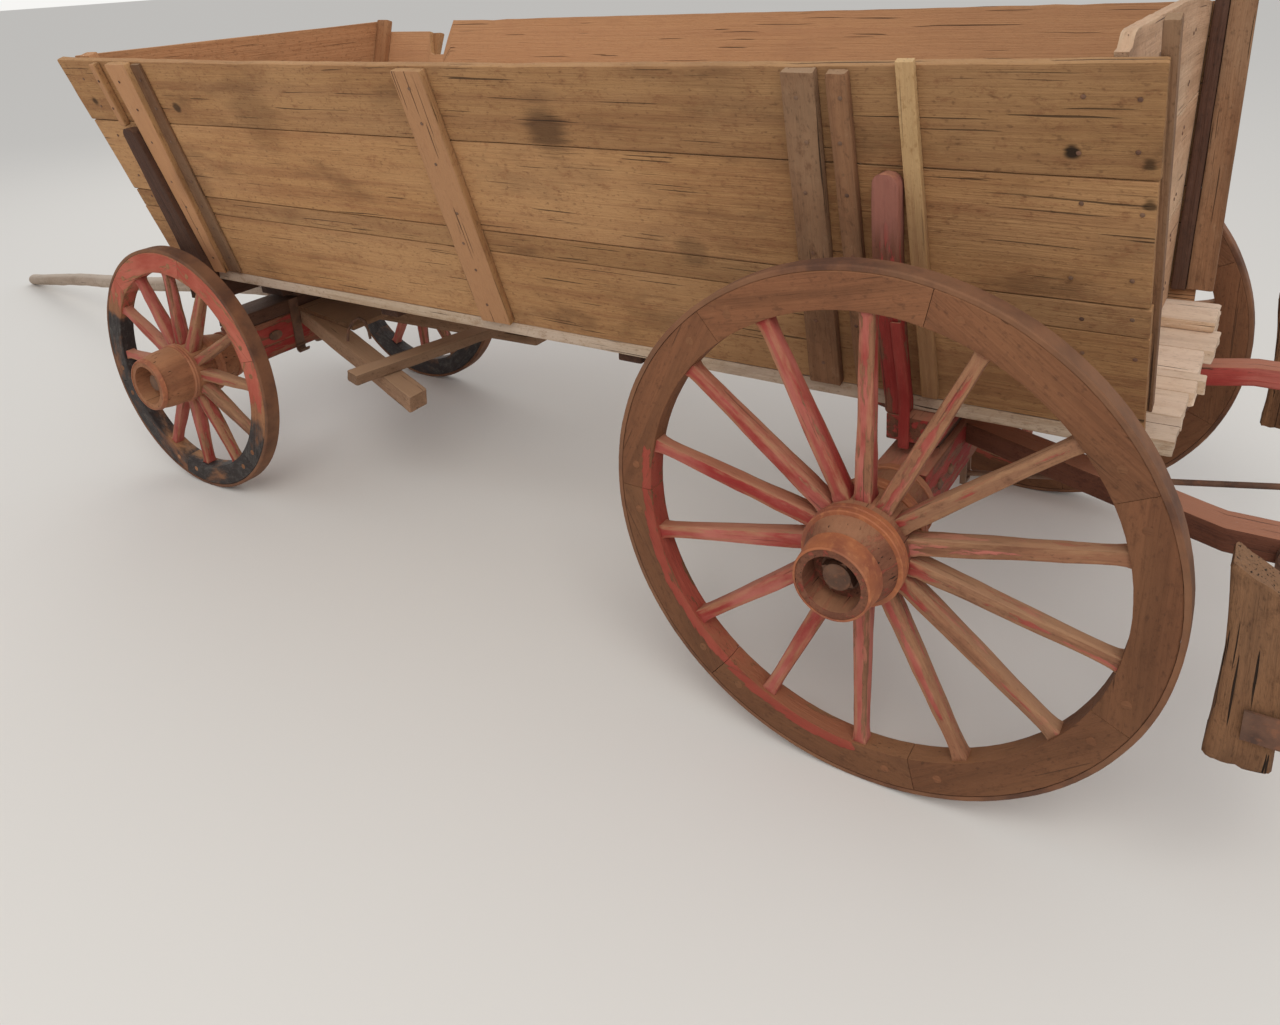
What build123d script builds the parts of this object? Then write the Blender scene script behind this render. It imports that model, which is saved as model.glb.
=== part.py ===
from build123d import *
from collections import namedtuple
from math import atan, cos, hypot, pi, radians, sin, sqrt, tan
import os

os.makedirs("parts", exist_ok=True)

# A four-wheeled farm wagon with a flared plank box, drawn by a pair of oxen.
# Millimetres. X runs forward, Y to the left and Z up from the ground, where the wheels stand.
# Lengths called "fore" are measured forward of the rear axle, and "span" holds two ends.

# Driving dimensions of the whole wagon
WHEELBASE = 2620.0
POLE_REACH = 6150.0
FLOOR_TOP = 800.0
FLOOR_T = 35.0
FLOOR_HALF = 425.0
FLARE = 0.34
WALL_T = 25.0
WALL_REAR = -460.0
WALL_AHEAD = 165.0
HEADBOARD_AHEAD = 80.0
SEAT_GAP = 0.2
MOVE_GAP = 5.0
PIN_GAP = 0.05

# Wheels: rims are flush inside and outside, and the axle arms run through the naves
REAR_WHEEL_R = 600.0
FRONT_WHEEL_R = 456.0
REAR_FACE_Y = 763.0
FRONT_FACE_Y = 599.0
RIM_W = 55.0
TYRE_T = 12.0
FELLOE_JOINT = 1.2
BAND_T = 5.0
ARM_R = 29.0
NUT_SQUARE = 52.0
NUT_T = 22.0
WASHER_R = 42.0
WASHER_T = 4.0
RECESS_DEPTH = 61.0

# Running gear timbers
BED_W = 120.0
BOLSTER_HALF = 468.0
REAR_BOLSTER_H = 65.0
REAR_SPACER_H = 35.0
REAR_BED_H = 125.0
REAR_SPACER_HALF = 400.0
FRONT_BOLSTER_H = 80.0
FRONT_BED_W = 130.0
FRONT_BED_BOTTOM = 400.0
FRONT_BED_TOP = 545.0
SAND_BOLSTER_TOP = 600.0
PLATE_T = 8.0
PLATE_GAP = 0.3
PLATE_R = 120.0
PLATE_INSET = 5.0
PAD_HALF = 175.0
KING_BOLT_R = 14.0
KING_HEAD_R = 26.0
KING_HEAD_H = 14.0

# Reach pole and hounds
REACH_W = 80.0
REACH_H = 50.0
REACH_REAR = -260.0
REAR_HOUND_W = 70.0
HOUND_H = 55.0
HOUND_SLOPE = 0.428
REAR_HOUND_Y = 211.0
REAR_HOUND_BEND = -622.0
REAR_HOUND_END = -770.0
FRONT_HOUND_W = 80.0
FRONT_HOUND_BACK = 920.0
FRONT_HOUND_Y = 378.0
FRONT_HOUND_FALL = 7.2
FRONT_HOUND_SLOPE = 0.31
FRONT_HOUND_H = 60.0
FRONT_HOUND_TOP = 557.0
SWAY_BAR_BACK = 764.0
SWAY_BAR_HALF = 430.0
SWAY_BAR_W = 60.0
SWAY_BAR_T = 40.0
SWAY_BAR_SKEW = 9.6

# Draught pole, lying with its tip on the ground
POLE_YAW = -9.6
POLE_TIP_R = 34.0
POLE_ROOT_R = 39.0
POLE_PIN_AHEAD = 172.0
POLE_PIN_Z = 575.0
POLE_PIN_R = 10.0
POLE_TIP_HOLE_R = 9.0
JAW_T = 14.0
JAW_H = 54.0
JAW_GAP = 2.0

# Brake, hung behind the rear wheels
BRAKE_GAP = 40.0
BLOCK_DEPTH = 110.0
BLOCK_Y = (690.0, 785.0)
BLOCK_Z = (370.0, 781.0)
BLOCK_HOLLOW = 11.0
BRAKE_BEAM_W = 60.0
BRAKE_BEAM_Z = (435.0, 505.0)
HANGER_W = 40.0
HANGER_T = 10.0
HANGER_PIN_R = 9.0
ROD_R = 7.5
ROD_PIN_Z = 552.0
ROD_FALL = 11.0
ROD_FRONT = 110.0
ROD_EYE_R = 20.0
ROD_EYE_HOLE_R = 9.0

# Tailgate, lifted out upwards between its stops
TAILGATE_REAR = -397.0
TAILGATE_T = 25.0
TAILGATE_TOP = 1605.0
STOP_D = 32.0
STOP_W = 34.0
LEFT_STOP_W = 28.0
LEFT_STOP_REAR = -469.0
RAISED_PLANK_T = 28.0

TAIL_REACH = REAR_WHEEL_R + BRAKE_GAP + BLOCK_DEPTH + BRAKE_BEAM_W
REAR_AXLE_X = (TAIL_REACH - POLE_REACH) / 2
FRONT_AXLE_X = REAR_AXLE_X + WHEELBASE
WALL_FRONT = WHEELBASE + WALL_AHEAD
HEADBOARD_FORE = WHEELBASE + HEADBOARD_AHEAD
POLE_PIN_FORE = WHEELBASE + POLE_PIN_AHEAD
FLOOR_BOTTOM = FLOOR_TOP - FLOOR_T
REAR_BOLSTER_BOTTOM = FLOOR_BOTTOM - REAR_BOLSTER_H
REAR_BED_TOP = REAR_BOLSTER_BOTTOM - REAR_SPACER_H
REAR_BED_BOTTOM = REAR_BED_TOP - REAR_BED_H
FRONT_BOLSTER_BOTTOM = FLOOR_BOTTOM - FRONT_BOLSTER_H
UPPER_PLATE_BOTTOM = SAND_BOLSTER_TOP + PLATE_T + PLATE_GAP
PAD_BOTTOM = UPPER_PLATE_BOTTOM + PLATE_T
REACH_BOTTOM = REAR_BED_TOP - REACH_H
LEAN = atan(FLARE)
SIDES = (("left", 1), ("right", -1))
BOTH = (1, -1)


def fore(distance):
    """X of a place that lies this far forward of the rear axle."""
    return REAR_AXLE_X + distance


def climb(z):
    """Distance up a side wall from the floor to a height."""
    return (z - FLOOR_TOP) / cos(LEAN)


def cross_plane(x):
    """Plane across the wagon: its X runs to the left side, its Y up and its Z forward."""
    return Plane(origin=(x, 0, 0), x_dir=(0, 1, 0), z_dir=(1, 0, 0))


def wall_plane(side):
    """Outer face of a side wall: its Y climbs the wall and its Z points into the box."""
    inward = (0, -side * cos(LEAN), sin(LEAN))
    return Plane(origin=(0, side * FLOOR_HALF, FLOOR_TOP), x_dir=(side, 0, 0), z_dir=inward)


def wall_piece(side, outline, depth, thickness):
    """Plate on a wall: corners are (fore, height), and depth is taken inwards from the outer face."""
    with BuildSketch(wall_plane(side).offset(depth)) as face:
        with BuildLine():
            Polyline(*[(side * fore(x), climb(z)) for x, z in outline], close=True)
        make_face()
    extrude(face.sketch, amount=thickness)


def timber(x_span, y_span, z_span):
    """Squared timber along the wagon's own axes, between two values on each axis."""
    with BuildSketch(Plane.XY.offset(z_span[0])) as end:
        with Locations(((x_span[0] + x_span[1]) / 2, (y_span[0] + y_span[1]) / 2)):
            Rectangle(x_span[1] - x_span[0], y_span[1] - y_span[0])
    extrude(end.sketch, amount=z_span[1] - z_span[0])


def plan_timber(corners, bottom, height, plane=Plane.XY):
    """Timber with an outline drawn in plan, or on a tilted plane."""
    with BuildSketch(plane.offset(bottom)) as outline:
        with BuildLine():
            Polyline(*corners, close=True)
        make_face()
    extrude(outline.sketch, amount=height)


def upright_rod(x, y, radius, z_span, mode=Mode.ADD):
    """Round bar or hole standing upright."""
    with BuildSketch(Plane.XY.offset(z_span[0])) as end:
        with Locations((x, y)):
            Circle(radius)
    extrude(end.sketch, amount=z_span[1] - z_span[0], mode=mode)


def cross_rod(x, z, radius, y_span, mode=Mode.ADD):
    """Round bar or hole lying across the wagon."""
    with BuildSketch(Plane(origin=(x, y_span[0], z), x_dir=(1, 0, 0), z_dir=(0, 1, 0))) as end:
        Circle(radius)
    extrude(end.sketch, amount=y_span[1] - y_span[0], mode=mode)


# Floor: lengthwise boards with uneven rear ends
FloorBoard = namedtuple("FloorBoard", "right left rear")
FLOOR_BOARDS = (
    FloorBoard(301, FLOOR_HALF, -519),
    FloorBoard(163, 299, -518),
    FloorBoard(85, 161, -526),
    FloorBoard(41, 83, -541),
    FloorBoard(-112, 39, -521),
    FloorBoard(-264, -114, -540),
    FloorBoard(-FLOOR_HALF, -266, -528),
)
FLOOR_FRONT = HEADBOARD_FORE + WALL_T

with BuildPart() as floor_boards:
    for board in FLOOR_BOARDS:
        timber((fore(board.rear), fore(FLOOR_FRONT)), (board.right, board.left), (FLOOR_BOTTOM, FLOOR_TOP))

floor_boards.part.label = "floor_boards"
export_step(floor_boards.part, "parts/floor_boards.step")

CLEAT_FORES = (800, 1720)
CLEAT_W = 75.0
CLEAT_H = 32.0
CLEAT_HALF = 400.0

with BuildPart() as floor_cleats:
    for cleat_fore in CLEAT_FORES:
        timber(
            (fore(cleat_fore - CLEAT_W / 2), fore(cleat_fore + CLEAT_W / 2)),
            (-CLEAT_HALF, CLEAT_HALF),
            (FLOOR_BOTTOM - CLEAT_H, FLOOR_BOTTOM),
        )

floor_cleats.part.label = "floor_cleats"
export_step(floor_cleats.part, "parts/floor_cleats.step")

# Side walls: four boards each, from the floor up, with open seams between them
SideBoard = namedtuple("SideBoard", "bottom top rear front")
SIDE_BOARDS = (
    SideBoard(FLOOR_TOP - 10, 1034, WALL_REAR, WALL_FRONT),
    SideBoard(1036, 1098, WALL_REAR, WALL_FRONT - 4),
    SideBoard(1101, 1354, WALL_REAR + 3, WALL_FRONT + 2),
    SideBoard(1356, 1562, WALL_REAR, WALL_FRONT + 12),
)
SIDE_TOP = SIDE_BOARDS[-1].top
TOP_SAG = 14.0
FAR_NOTCH_FORES = (2300, 2400)
FAR_NOTCH_Z = 1432.0
FAR_FRONT_DROP = 40.0


def side_boards(side):
    """Boards of one side, their lowest edge cut level to sit on the floor."""
    for board in SIDE_BOARDS[:-1]:
        corners = (
            (board.rear, board.bottom),
            (board.front, board.bottom),
            (board.front, board.top),
            (board.rear, board.top),
        )
        wall_piece(side, corners, 0, WALL_T)
    top = SIDE_BOARDS[-1]
    middle = (top.rear + top.front) / 2
    with BuildSketch(wall_plane(side)) as face:
        with BuildLine():
            Polyline(
                (side * fore(top.rear), climb(top.top)),
                (side * fore(top.rear), climb(top.bottom)),
                (side * fore(top.front), climb(top.bottom)),
                (side * fore(top.front), climb(top.top)),
            )
            ThreePointArc(
                (side * fore(top.front), climb(top.top)),
                (side * fore(middle), climb(top.top - TOP_SAG)),
                (side * fore(top.rear), climb(top.top)),
            )
        make_face()
    extrude(face.sketch, amount=WALL_T)


def below_floor_cut():
    """Removes what hangs below the floor's top."""
    cut_x = (fore(WALL_REAR - WALL_T), fore(WALL_FRONT + WALL_T))
    cut_y = FLOOR_HALF + WALL_T
    with BuildSketch(Plane.XY.offset(FLOOR_TOP)) as cut:
        with Locations(((cut_x[0] + cut_x[1]) / 2, 0)):
            Rectangle(cut_x[1] - cut_x[0], 2 * cut_y)
    extrude(cut.sketch, amount=-FLOOR_T, mode=Mode.SUBTRACT)


with BuildPart() as side_left_boards:
    side_boards(1)
    below_floor_cut()

side_left_boards.part.label = "side_left_boards"
export_step(side_left_boards.part, "parts/side_left_boards.step")

with BuildPart() as side_right_boards:
    side_boards(-1)
    below_floor_cut()
    notch_top = SIDE_TOP + FAR_FRONT_DROP
    front_top = SIDE_TOP - FAR_FRONT_DROP
    with BuildSketch(wall_plane(-1)) as far_notch:
        with BuildLine():
            Polyline(
                (-fore(FAR_NOTCH_FORES[0]), climb(notch_top)),
                (-fore(FAR_NOTCH_FORES[0] + 30), climb(FAR_NOTCH_Z)),
                (-fore(FAR_NOTCH_FORES[1]), climb(FAR_NOTCH_Z)),
                (-fore(FAR_NOTCH_FORES[1] + 20), climb(front_top)),
                (-fore(WALL_FRONT + WALL_T), climb(front_top)),
                (-fore(WALL_FRONT + WALL_T), climb(notch_top)),
                close=True,
            )
        make_face()
    extrude(far_notch.sketch, amount=WALL_T, mode=Mode.SUBTRACT)

side_right_boards.part.label = "side_right_boards"
export_step(side_right_boards.part, "parts/side_right_boards.step")

# Battens nailed up the outside of the walls: low and high ends give each one's lean
Batten = namedtuple("Batten", "rear_low front_low rear_high front_high thickness bottom top")
LEFT_BATTENS = (
    Batten(WHEELBASE - 51, WHEELBASE - 21, WHEELBASE - 68, WHEELBASE - 38, 22, 1345, 1556),
    Batten(WHEELBASE - 152, WHEELBASE - 85, WHEELBASE - 240, WHEELBASE - 130, 24, 806, 1556),
    Batten(WHEELBASE - 218, WHEELBASE - 154, WHEELBASE - 293, WHEELBASE - 242, 10, 806, 1552),
    Batten(1165, 1275, 1145, 1247, 24, 806, 1545),
    Batten(173, 251, 130, 198, 24, 806, 1552),
    Batten(95, 135, 66, 110, 22, 806, 1549),
)
RIGHT_BATTENS = (LEFT_BATTENS[1], *LEFT_BATTENS[3:5])
RIGHT_BATTEN_TOP = SIDE_TOP - FAR_FRONT_DROP

with BuildPart() as side_battens:
    for battens, side, highest in ((LEFT_BATTENS, 1, SIDE_TOP), (RIGHT_BATTENS, -1, RIGHT_BATTEN_TOP)):
        for batten in battens:
            corners = (
                (batten.rear_low, batten.bottom),
                (batten.front_low, batten.bottom),
                (batten.front_high, min(batten.top, highest)),
                (batten.rear_high, min(batten.top, highest)),
            )
            wall_piece(side, corners, 0, -batten.thickness)

side_battens.part.label = "side_battens"
export_step(side_battens.part, "parts/side_battens.step")

NEW_STRIP = Batten(-50, -14, -58, -24, 16, 812, 1567)

with BuildPart() as side_new_strip:
    corners = (
        (NEW_STRIP.rear_low, NEW_STRIP.bottom),
        (NEW_STRIP.front_low, NEW_STRIP.bottom),
        (NEW_STRIP.front_high, NEW_STRIP.top),
        (NEW_STRIP.rear_high, NEW_STRIP.top),
    )
    wall_piece(1, corners, 0, -NEW_STRIP.thickness)

side_new_strip.part.label = "side_new_strip"
export_step(side_new_strip.part, "parts/side_new_strip.step")


def inner_half(z):
    """Half width between the walls' inner faces at a height."""
    return FLOOR_HALF + FLARE * (z - FLOOR_TOP) - WALL_T / cos(LEAN)


# Headboard between the side walls
CrossBoard = namedtuple("CrossBoard", "bottom top")
HEAD_BOARDS = (CrossBoard(FLOOR_TOP, 1050), CrossBoard(1052, 1310), CrossBoard(1312, 1570))

with BuildPart() as headboard_boards:
    for board in HEAD_BOARDS:
        with BuildSketch(cross_plane(fore(HEADBOARD_FORE))) as panel:
            with BuildLine():
                Polyline(
                    (-inner_half(board.bottom) + SEAT_GAP, board.bottom),
                    (inner_half(board.bottom) - SEAT_GAP, board.bottom),
                    (inner_half(board.top) - SEAT_GAP, board.top),
                    (-inner_half(board.top) + SEAT_GAP, board.top),
                    close=True,
                )
            make_face()
        extrude(panel.sketch, amount=WALL_T)

headboard_boards.part.label = "headboard_boards"
export_step(headboard_boards.part, "parts/headboard_boards.step")

HEAD_BATTEN_Y = 250.0
HEAD_BATTEN_W = 90.0

CORNER_W = 60.0

with BuildPart() as headboard_cleats:
    for side in BOTH:
        timber(
            (fore(HEADBOARD_FORE + WALL_T), fore(HEADBOARD_FORE + 2 * WALL_T)),
            sorted((side * (HEAD_BATTEN_Y - HEAD_BATTEN_W / 2), side * (HEAD_BATTEN_Y + HEAD_BATTEN_W / 2))),
            (FLOOR_TOP - FLOOR_T, HEAD_BOARDS[-1].top - 15),
        )
        corners = (
            (HEADBOARD_FORE - CORNER_W, FLOOR_TOP + 10),
            (HEADBOARD_FORE, FLOOR_TOP + 10),
            (HEADBOARD_FORE, SIDE_TOP),
            (HEADBOARD_FORE - CORNER_W, SIDE_TOP),
        )
        wall_piece(side, corners, WALL_T, STOP_D)

headboard_cleats.part.label = "headboard_cleats"
export_step(headboard_cleats.part, "parts/headboard_cleats.step")

# Tail end: stops on the walls, a plank laid on the floor and an upright plank on the right wall
STOP_REAR = TAILGATE_REAR - MOVE_GAP
STOP_FRONT = TAILGATE_REAR + TAILGATE_T + MOVE_GAP
STOP_FOOT = FLOOR_TOP + RAISED_PLANK_T + 10
StopBatten = namedtuple("StopBatten", "side rear width top")
STOP_BATTENS = (
    StopBatten(1, LEFT_STOP_REAR, LEFT_STOP_W, 1617),
    StopBatten(1, STOP_FRONT, STOP_W, 1540),
    StopBatten(-1, STOP_REAR - STOP_W, STOP_W, 1600),
    StopBatten(-1, STOP_FRONT, STOP_W, 1540),
)

with BuildPart() as tail_stops:
    for stop in STOP_BATTENS:
        corners = (
            (stop.rear, STOP_FOOT),
            (stop.rear + stop.width, STOP_FOOT),
            (stop.rear + stop.width, stop.top),
            (stop.rear, stop.top),
        )
        wall_piece(stop.side, corners, WALL_T, STOP_D)

tail_stops.part.label = "tail_stops"
export_step(tail_stops.part, "parts/tail_stops.step")

END_PLANK_T = 20.0
END_PLANK_FORES = (-500.0, STOP_REAR - STOP_W - 0.5)
END_PLANK_Z = (STOP_FOOT + 4, 1640.0)

with BuildPart() as tail_end_plank:
    corners = (
        (END_PLANK_FORES[0], END_PLANK_Z[0]),
        (END_PLANK_FORES[1], END_PLANK_Z[0]),
        (END_PLANK_FORES[1], END_PLANK_Z[1]),
        (END_PLANK_FORES[0], END_PLANK_Z[1]),
    )
    wall_piece(-1, corners, WALL_T, END_PLANK_T)

tail_end_plank.part.label = "tail_end_plank"
export_step(tail_end_plank.part, "parts/tail_end_plank.step")

RAISED_PLANK_Y = (-398.0, -238.0)
RAISED_PLANK_FORES = (-528.0, 1100.0)

with BuildPart() as raised_plank:
    timber(
        (fore(RAISED_PLANK_FORES[0]), fore(RAISED_PLANK_FORES[1])),
        RAISED_PLANK_Y,
        (FLOOR_TOP, FLOOR_TOP + RAISED_PLANK_T),
    )

raised_plank.part.label = "raised_plank"
export_step(raised_plank.part, "parts/raised_plank.step")

# Tailgate: boards cut to the flare, with a gap to each wall, and a torn top board
TAILGATE_BOTTOM = FLOOR_TOP + RAISED_PLANK_T + 0.3
TAIL_BOARDS = (CrossBoard(TAILGATE_BOTTOM, 1080), CrossBoard(1082, 1345), CrossBoard(1347, TAILGATE_TOP))
TORN_W = 60.0
TORN_DROP = 30.0
FAR_DROP = 40.0
TAILGATE_PLANE = cross_plane(fore(TAILGATE_REAR))

with BuildPart() as tailgate_boards:
    for board in TAIL_BOARDS[:-1]:
        low, high = inner_half(board.bottom) - MOVE_GAP, inner_half(board.top) - MOVE_GAP
        with BuildSketch(TAILGATE_PLANE) as panel:
            with BuildLine():
                Polyline(
                    (-low, board.bottom),
                    (low, board.bottom),
                    (high, board.top),
                    (-high, board.top),
                    close=True,
                )
            make_face()
        extrude(panel.sketch, amount=TAILGATE_T)
    board = TAIL_BOARDS[-1]
    low = inner_half(board.bottom) - MOVE_GAP
    torn = inner_half(board.top - TORN_DROP) - MOVE_GAP
    far = inner_half(board.top - FAR_DROP) - MOVE_GAP
    with BuildSketch(TAILGATE_PLANE) as panel:
        with BuildLine():
            Polyline(
                (-low, board.bottom),
                (low, board.bottom),
                (torn, board.top - TORN_DROP),
                (torn - TORN_W / 3, board.top - TORN_DROP / 2),
                (torn - TORN_W / 2, board.top - TORN_DROP * 0.7),
                (torn - TORN_W, board.top),
                (-far, board.top - FAR_DROP),
                close=True,
            )
        make_face()
    extrude(panel.sketch, amount=TAILGATE_T)

tailgate_boards.part.label = "tailgate_boards"
export_step(tailgate_boards.part, "parts/tailgate_boards.step")

TAIL_CLEAT_Y = 290.0
TAIL_CLEAT_W = 70.0
TAIL_CLEAT_T = 22.0

with BuildPart() as tailgate_cleats:
    for side in BOTH:
        timber(
            (fore(TAILGATE_REAR + TAILGATE_T), fore(TAILGATE_REAR + TAILGATE_T + TAIL_CLEAT_T)),
            sorted((side * (TAIL_CLEAT_Y - TAIL_CLEAT_W / 2), side * (TAIL_CLEAT_Y + TAIL_CLEAT_W / 2))),
            (TAILGATE_BOTTOM + 20, TAILGATE_TOP - 2 * TORN_DROP),
        )

tailgate_cleats.part.label = "tailgate_cleats"
export_step(tailgate_cleats.part, "parts/tailgate_cleats.step")

# Rear running gear: axle bed, spacer and bolster stacked up to the floor
BED_X = (fore(-BED_W / 2), fore(BED_W / 2))
REAR_NAVE_TAIL = 215.0
FRONT_NAVE_TAIL = 200.0
ARM_COLLAR_T = 12.0
ARM_COLLAR_R = 48.0
REAR_BED_HALF = REAR_FACE_Y - REAR_NAVE_TAIL - MOVE_GAP - ARM_COLLAR_T
FRONT_BED_HALF = FRONT_FACE_Y - FRONT_NAVE_TAIL - MOVE_GAP - ARM_COLLAR_T


def rear_hound_corners(side):
    """Plan outline of a rear hound: mitred on the reach pole, splayed rearwards, its end run parallel."""
    across = REAR_HOUND_W * hypot(1, HOUND_SLOPE)
    reach_y = REACH_W / 2 + SEAT_GAP
    bend_y = REAR_HOUND_Y - HOUND_SLOPE * REAR_HOUND_BEND
    outline = (
        ((REAR_HOUND_Y - reach_y) / HOUND_SLOPE, reach_y),
        (REAR_HOUND_BEND, bend_y),
        (REAR_HOUND_END, bend_y),
        (REAR_HOUND_END, bend_y - across),
        (REAR_HOUND_BEND, bend_y - across),
        ((REAR_HOUND_Y - across - reach_y) / HOUND_SLOPE, reach_y),
    )
    return [(fore(x), side * y) for x, y in outline]


REAR_HOUND_OUT = REAR_HOUND_Y - HOUND_SLOPE * REAR_HOUND_BEND
REAR_HOUND_IN = REAR_HOUND_OUT - REAR_HOUND_W * hypot(1, HOUND_SLOPE)
HOUND_BOTTOM = REAR_BED_TOP - HOUND_H
HANGER_PIN_FORE = -(REAR_WHEEL_R + BRAKE_GAP + BLOCK_DEPTH - HANGER_W / 2)
HANGER_PIN_Z = REAR_BED_TOP - HOUND_H / 2

with BuildPart() as rear_hounds:
    for side in BOTH:
        plan_timber(rear_hound_corners(side), HOUND_BOTTOM, HOUND_H)
    cross_rod(
        fore(HANGER_PIN_FORE),
        HANGER_PIN_Z,
        HANGER_PIN_R + SEAT_GAP,
        (-REAR_HOUND_OUT - 1, REAR_HOUND_OUT + 1),
        Mode.SUBTRACT,
    )

rear_hounds.part.label = "rear_hounds"
export_step(rear_hounds.part, "parts/rear_hounds.step")

with BuildPart() as reach_pole:
    timber(
        (fore(REACH_REAR), fore(WHEELBASE - FRONT_BED_W / 2)),
        (-REACH_W / 2, REACH_W / 2),
        (REACH_BOTTOM, REAR_BED_TOP),
    )

reach_pole.part.label = "reach_pole"
export_step(reach_pole.part, "parts/reach_pole.step")

with BuildPart() as rear_axle_bed:
    timber(BED_X, (-REAR_BED_HALF, REAR_BED_HALF), (REAR_BED_BOTTOM, REAR_BED_TOP))
    add(rear_hounds.part, mode=Mode.SUBTRACT)
    add(reach_pole.part, mode=Mode.SUBTRACT)

rear_axle_bed.part.label = "rear_axle_bed"
export_step(rear_axle_bed.part, "parts/rear_axle_bed.step")

with BuildPart() as rear_spacer:
    timber(
        (fore(-BED_W / 2 + 15), fore(BED_W / 2 - 15)),
        (-REAR_SPACER_HALF, REAR_SPACER_HALF),
        (REAR_BED_TOP, REAR_BOLSTER_BOTTOM),
    )

rear_spacer.part.label = "rear_spacer"
export_step(rear_spacer.part, "parts/rear_spacer.step")

with BuildPart() as rear_bolster:
    timber(BED_X, (-BOLSTER_HALF, BOLSTER_HALF), (REAR_BOLSTER_BOTTOM, FLOOR_BOTTOM))

rear_bolster.part.label = "rear_bolster"
export_step(rear_bolster.part, "parts/rear_bolster.step")

# Stakes: each stands on a bolster's end and leans out along the wall, and a strip is nailed on the rear ones
Stake = namedtuple("Stake", "fore_low fore_high width_low width_high bow top thickness")
STAKES = (
    Stake(35, 9, 56, 56, 10, 1350, 42),
    Stake(WHEELBASE - 18, WHEELBASE - 75, 120, 76, 2, 1340, 42),
)
STRIP_FORES = (2.0, 26.0)
STRIP_Z = (688.0, 1015.0)
STRIP_T = 10.0

with BuildPart() as bolster_stakes:
    for stake in STAKES:
        inner_foot = FLOOR_HALF + SEAT_GAP
        outer_foot = inner_foot + stake.thickness
        rise = FLARE * (stake.top - FLOOR_TOP)
        for side in BOTH:
            with BuildSketch(cross_plane(fore(stake.fore_low))) as section:
                with BuildLine():
                    Polyline(
                        (side * inner_foot, FLOOR_BOTTOM),
                        (side * inner_foot, FLOOR_TOP),
                        (side * (inner_foot + rise), stake.top),
                        (side * (outer_foot + rise), stake.top),
                        (side * outer_foot, FLOOR_TOP),
                        (side * outer_foot, FLOOR_BOTTOM),
                        close=True,
                    )
                make_face()
            extrude(section.sketch, amount=2 * stake.width_low, both=True)
    with BuildSketch(Plane.XZ) as outlines:
        for stake in STAKES:
            foot, head = stake.width_low / 2, stake.width_high / 2
            low, high = fore(stake.fore_low), fore(stake.fore_high)
            waist = (low + high) / 2 + stake.bow
            half = (foot + head) / 2
            shoulder = stake.top - head
            middle = (FLOOR_BOTTOM + shoulder) / 2
            with BuildLine():
                Line((low - foot, FLOOR_BOTTOM), (low + foot, FLOOR_BOTTOM))
                ThreePointArc((low + foot, FLOOR_BOTTOM), (waist + half, middle), (high + head, shoulder))
                ThreePointArc((high + head, shoulder), (high, stake.top), (high - head, shoulder))
                ThreePointArc((high - head, shoulder), (waist - half, middle), (low - foot, FLOOR_BOTTOM))
            make_face()
    extrude(outlines.sketch, amount=2 * REAR_FACE_Y, both=True, mode=Mode.INTERSECT)
    strip_foot = BOLSTER_HALF + SEAT_GAP
    stake_face = FLOOR_HALF + 2 * SEAT_GAP + STAKES[0].thickness
    strip_knee = FLOOR_TOP + (strip_foot - stake_face) / FLARE
    strip_head = stake_face + FLARE * (STRIP_Z[1] - FLOOR_TOP)
    for side in BOTH:
        with BuildSketch(cross_plane(fore(STRIP_FORES[0]))) as strip:
            with BuildLine():
                Polyline(
                    (side * strip_foot, STRIP_Z[0]),
                    (side * strip_foot, strip_knee),
                    (side * strip_head, STRIP_Z[1]),
                    (side * (strip_head + STRIP_T), STRIP_Z[1]),
                    (side * (strip_foot + STRIP_T), strip_knee),
                    (side * (strip_foot + STRIP_T), STRIP_Z[0]),
                    close=True,
                )
            make_face()
        extrude(strip.sketch, amount=STRIP_FORES[1] - STRIP_FORES[0])

bolster_stakes.part.label = "bolster_stakes"
export_step(bolster_stakes.part, "parts/bolster_stakes.step")

# Front: top bolster, pad and upper plate stay with the box, and the king bolt joins them to the gear
FRONT_X = (fore(WHEELBASE - FRONT_BED_W / 2), fore(WHEELBASE + FRONT_BED_W / 2))
KING_CLEAR_R = KING_BOLT_R + PIN_GAP

with BuildPart() as front_top_bolster:
    timber(FRONT_X, (-BOLSTER_HALF, BOLSTER_HALF), (FRONT_BOLSTER_BOTTOM, FLOOR_BOTTOM))
    upright_rod(FRONT_AXLE_X, 0, KING_CLEAR_R, (FRONT_BOLSTER_BOTTOM, FLOOR_BOTTOM), Mode.SUBTRACT)
    upright_rod(
        FRONT_AXLE_X, 0, KING_HEAD_R + SEAT_GAP, (FLOOR_BOTTOM - KING_HEAD_H, FLOOR_BOTTOM), Mode.SUBTRACT
    )

front_top_bolster.part.label = "front_top_bolster"
export_step(front_top_bolster.part, "parts/front_top_bolster.step")

with BuildPart() as front_pad:
    timber(FRONT_X, (-PAD_HALF, PAD_HALF), (PAD_BOTTOM, FRONT_BOLSTER_BOTTOM))
    upright_rod(FRONT_AXLE_X, 0, KING_CLEAR_R, (PAD_BOTTOM, FRONT_BOLSTER_BOTTOM), Mode.SUBTRACT)

front_pad.part.label = "front_pad"
export_step(front_pad.part, "parts/front_pad.step")

with BuildPart() as upper_plate:
    timber(
        (FRONT_X[0] + PLATE_INSET, FRONT_X[1] - PLATE_INSET),
        (-PLATE_R, PLATE_R),
        (UPPER_PLATE_BOTTOM, UPPER_PLATE_BOTTOM + PLATE_T),
    )
    upright_rod(
        FRONT_AXLE_X, 0, KING_CLEAR_R, (UPPER_PLATE_BOTTOM, UPPER_PLATE_BOTTOM + PLATE_T), Mode.SUBTRACT
    )

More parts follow.
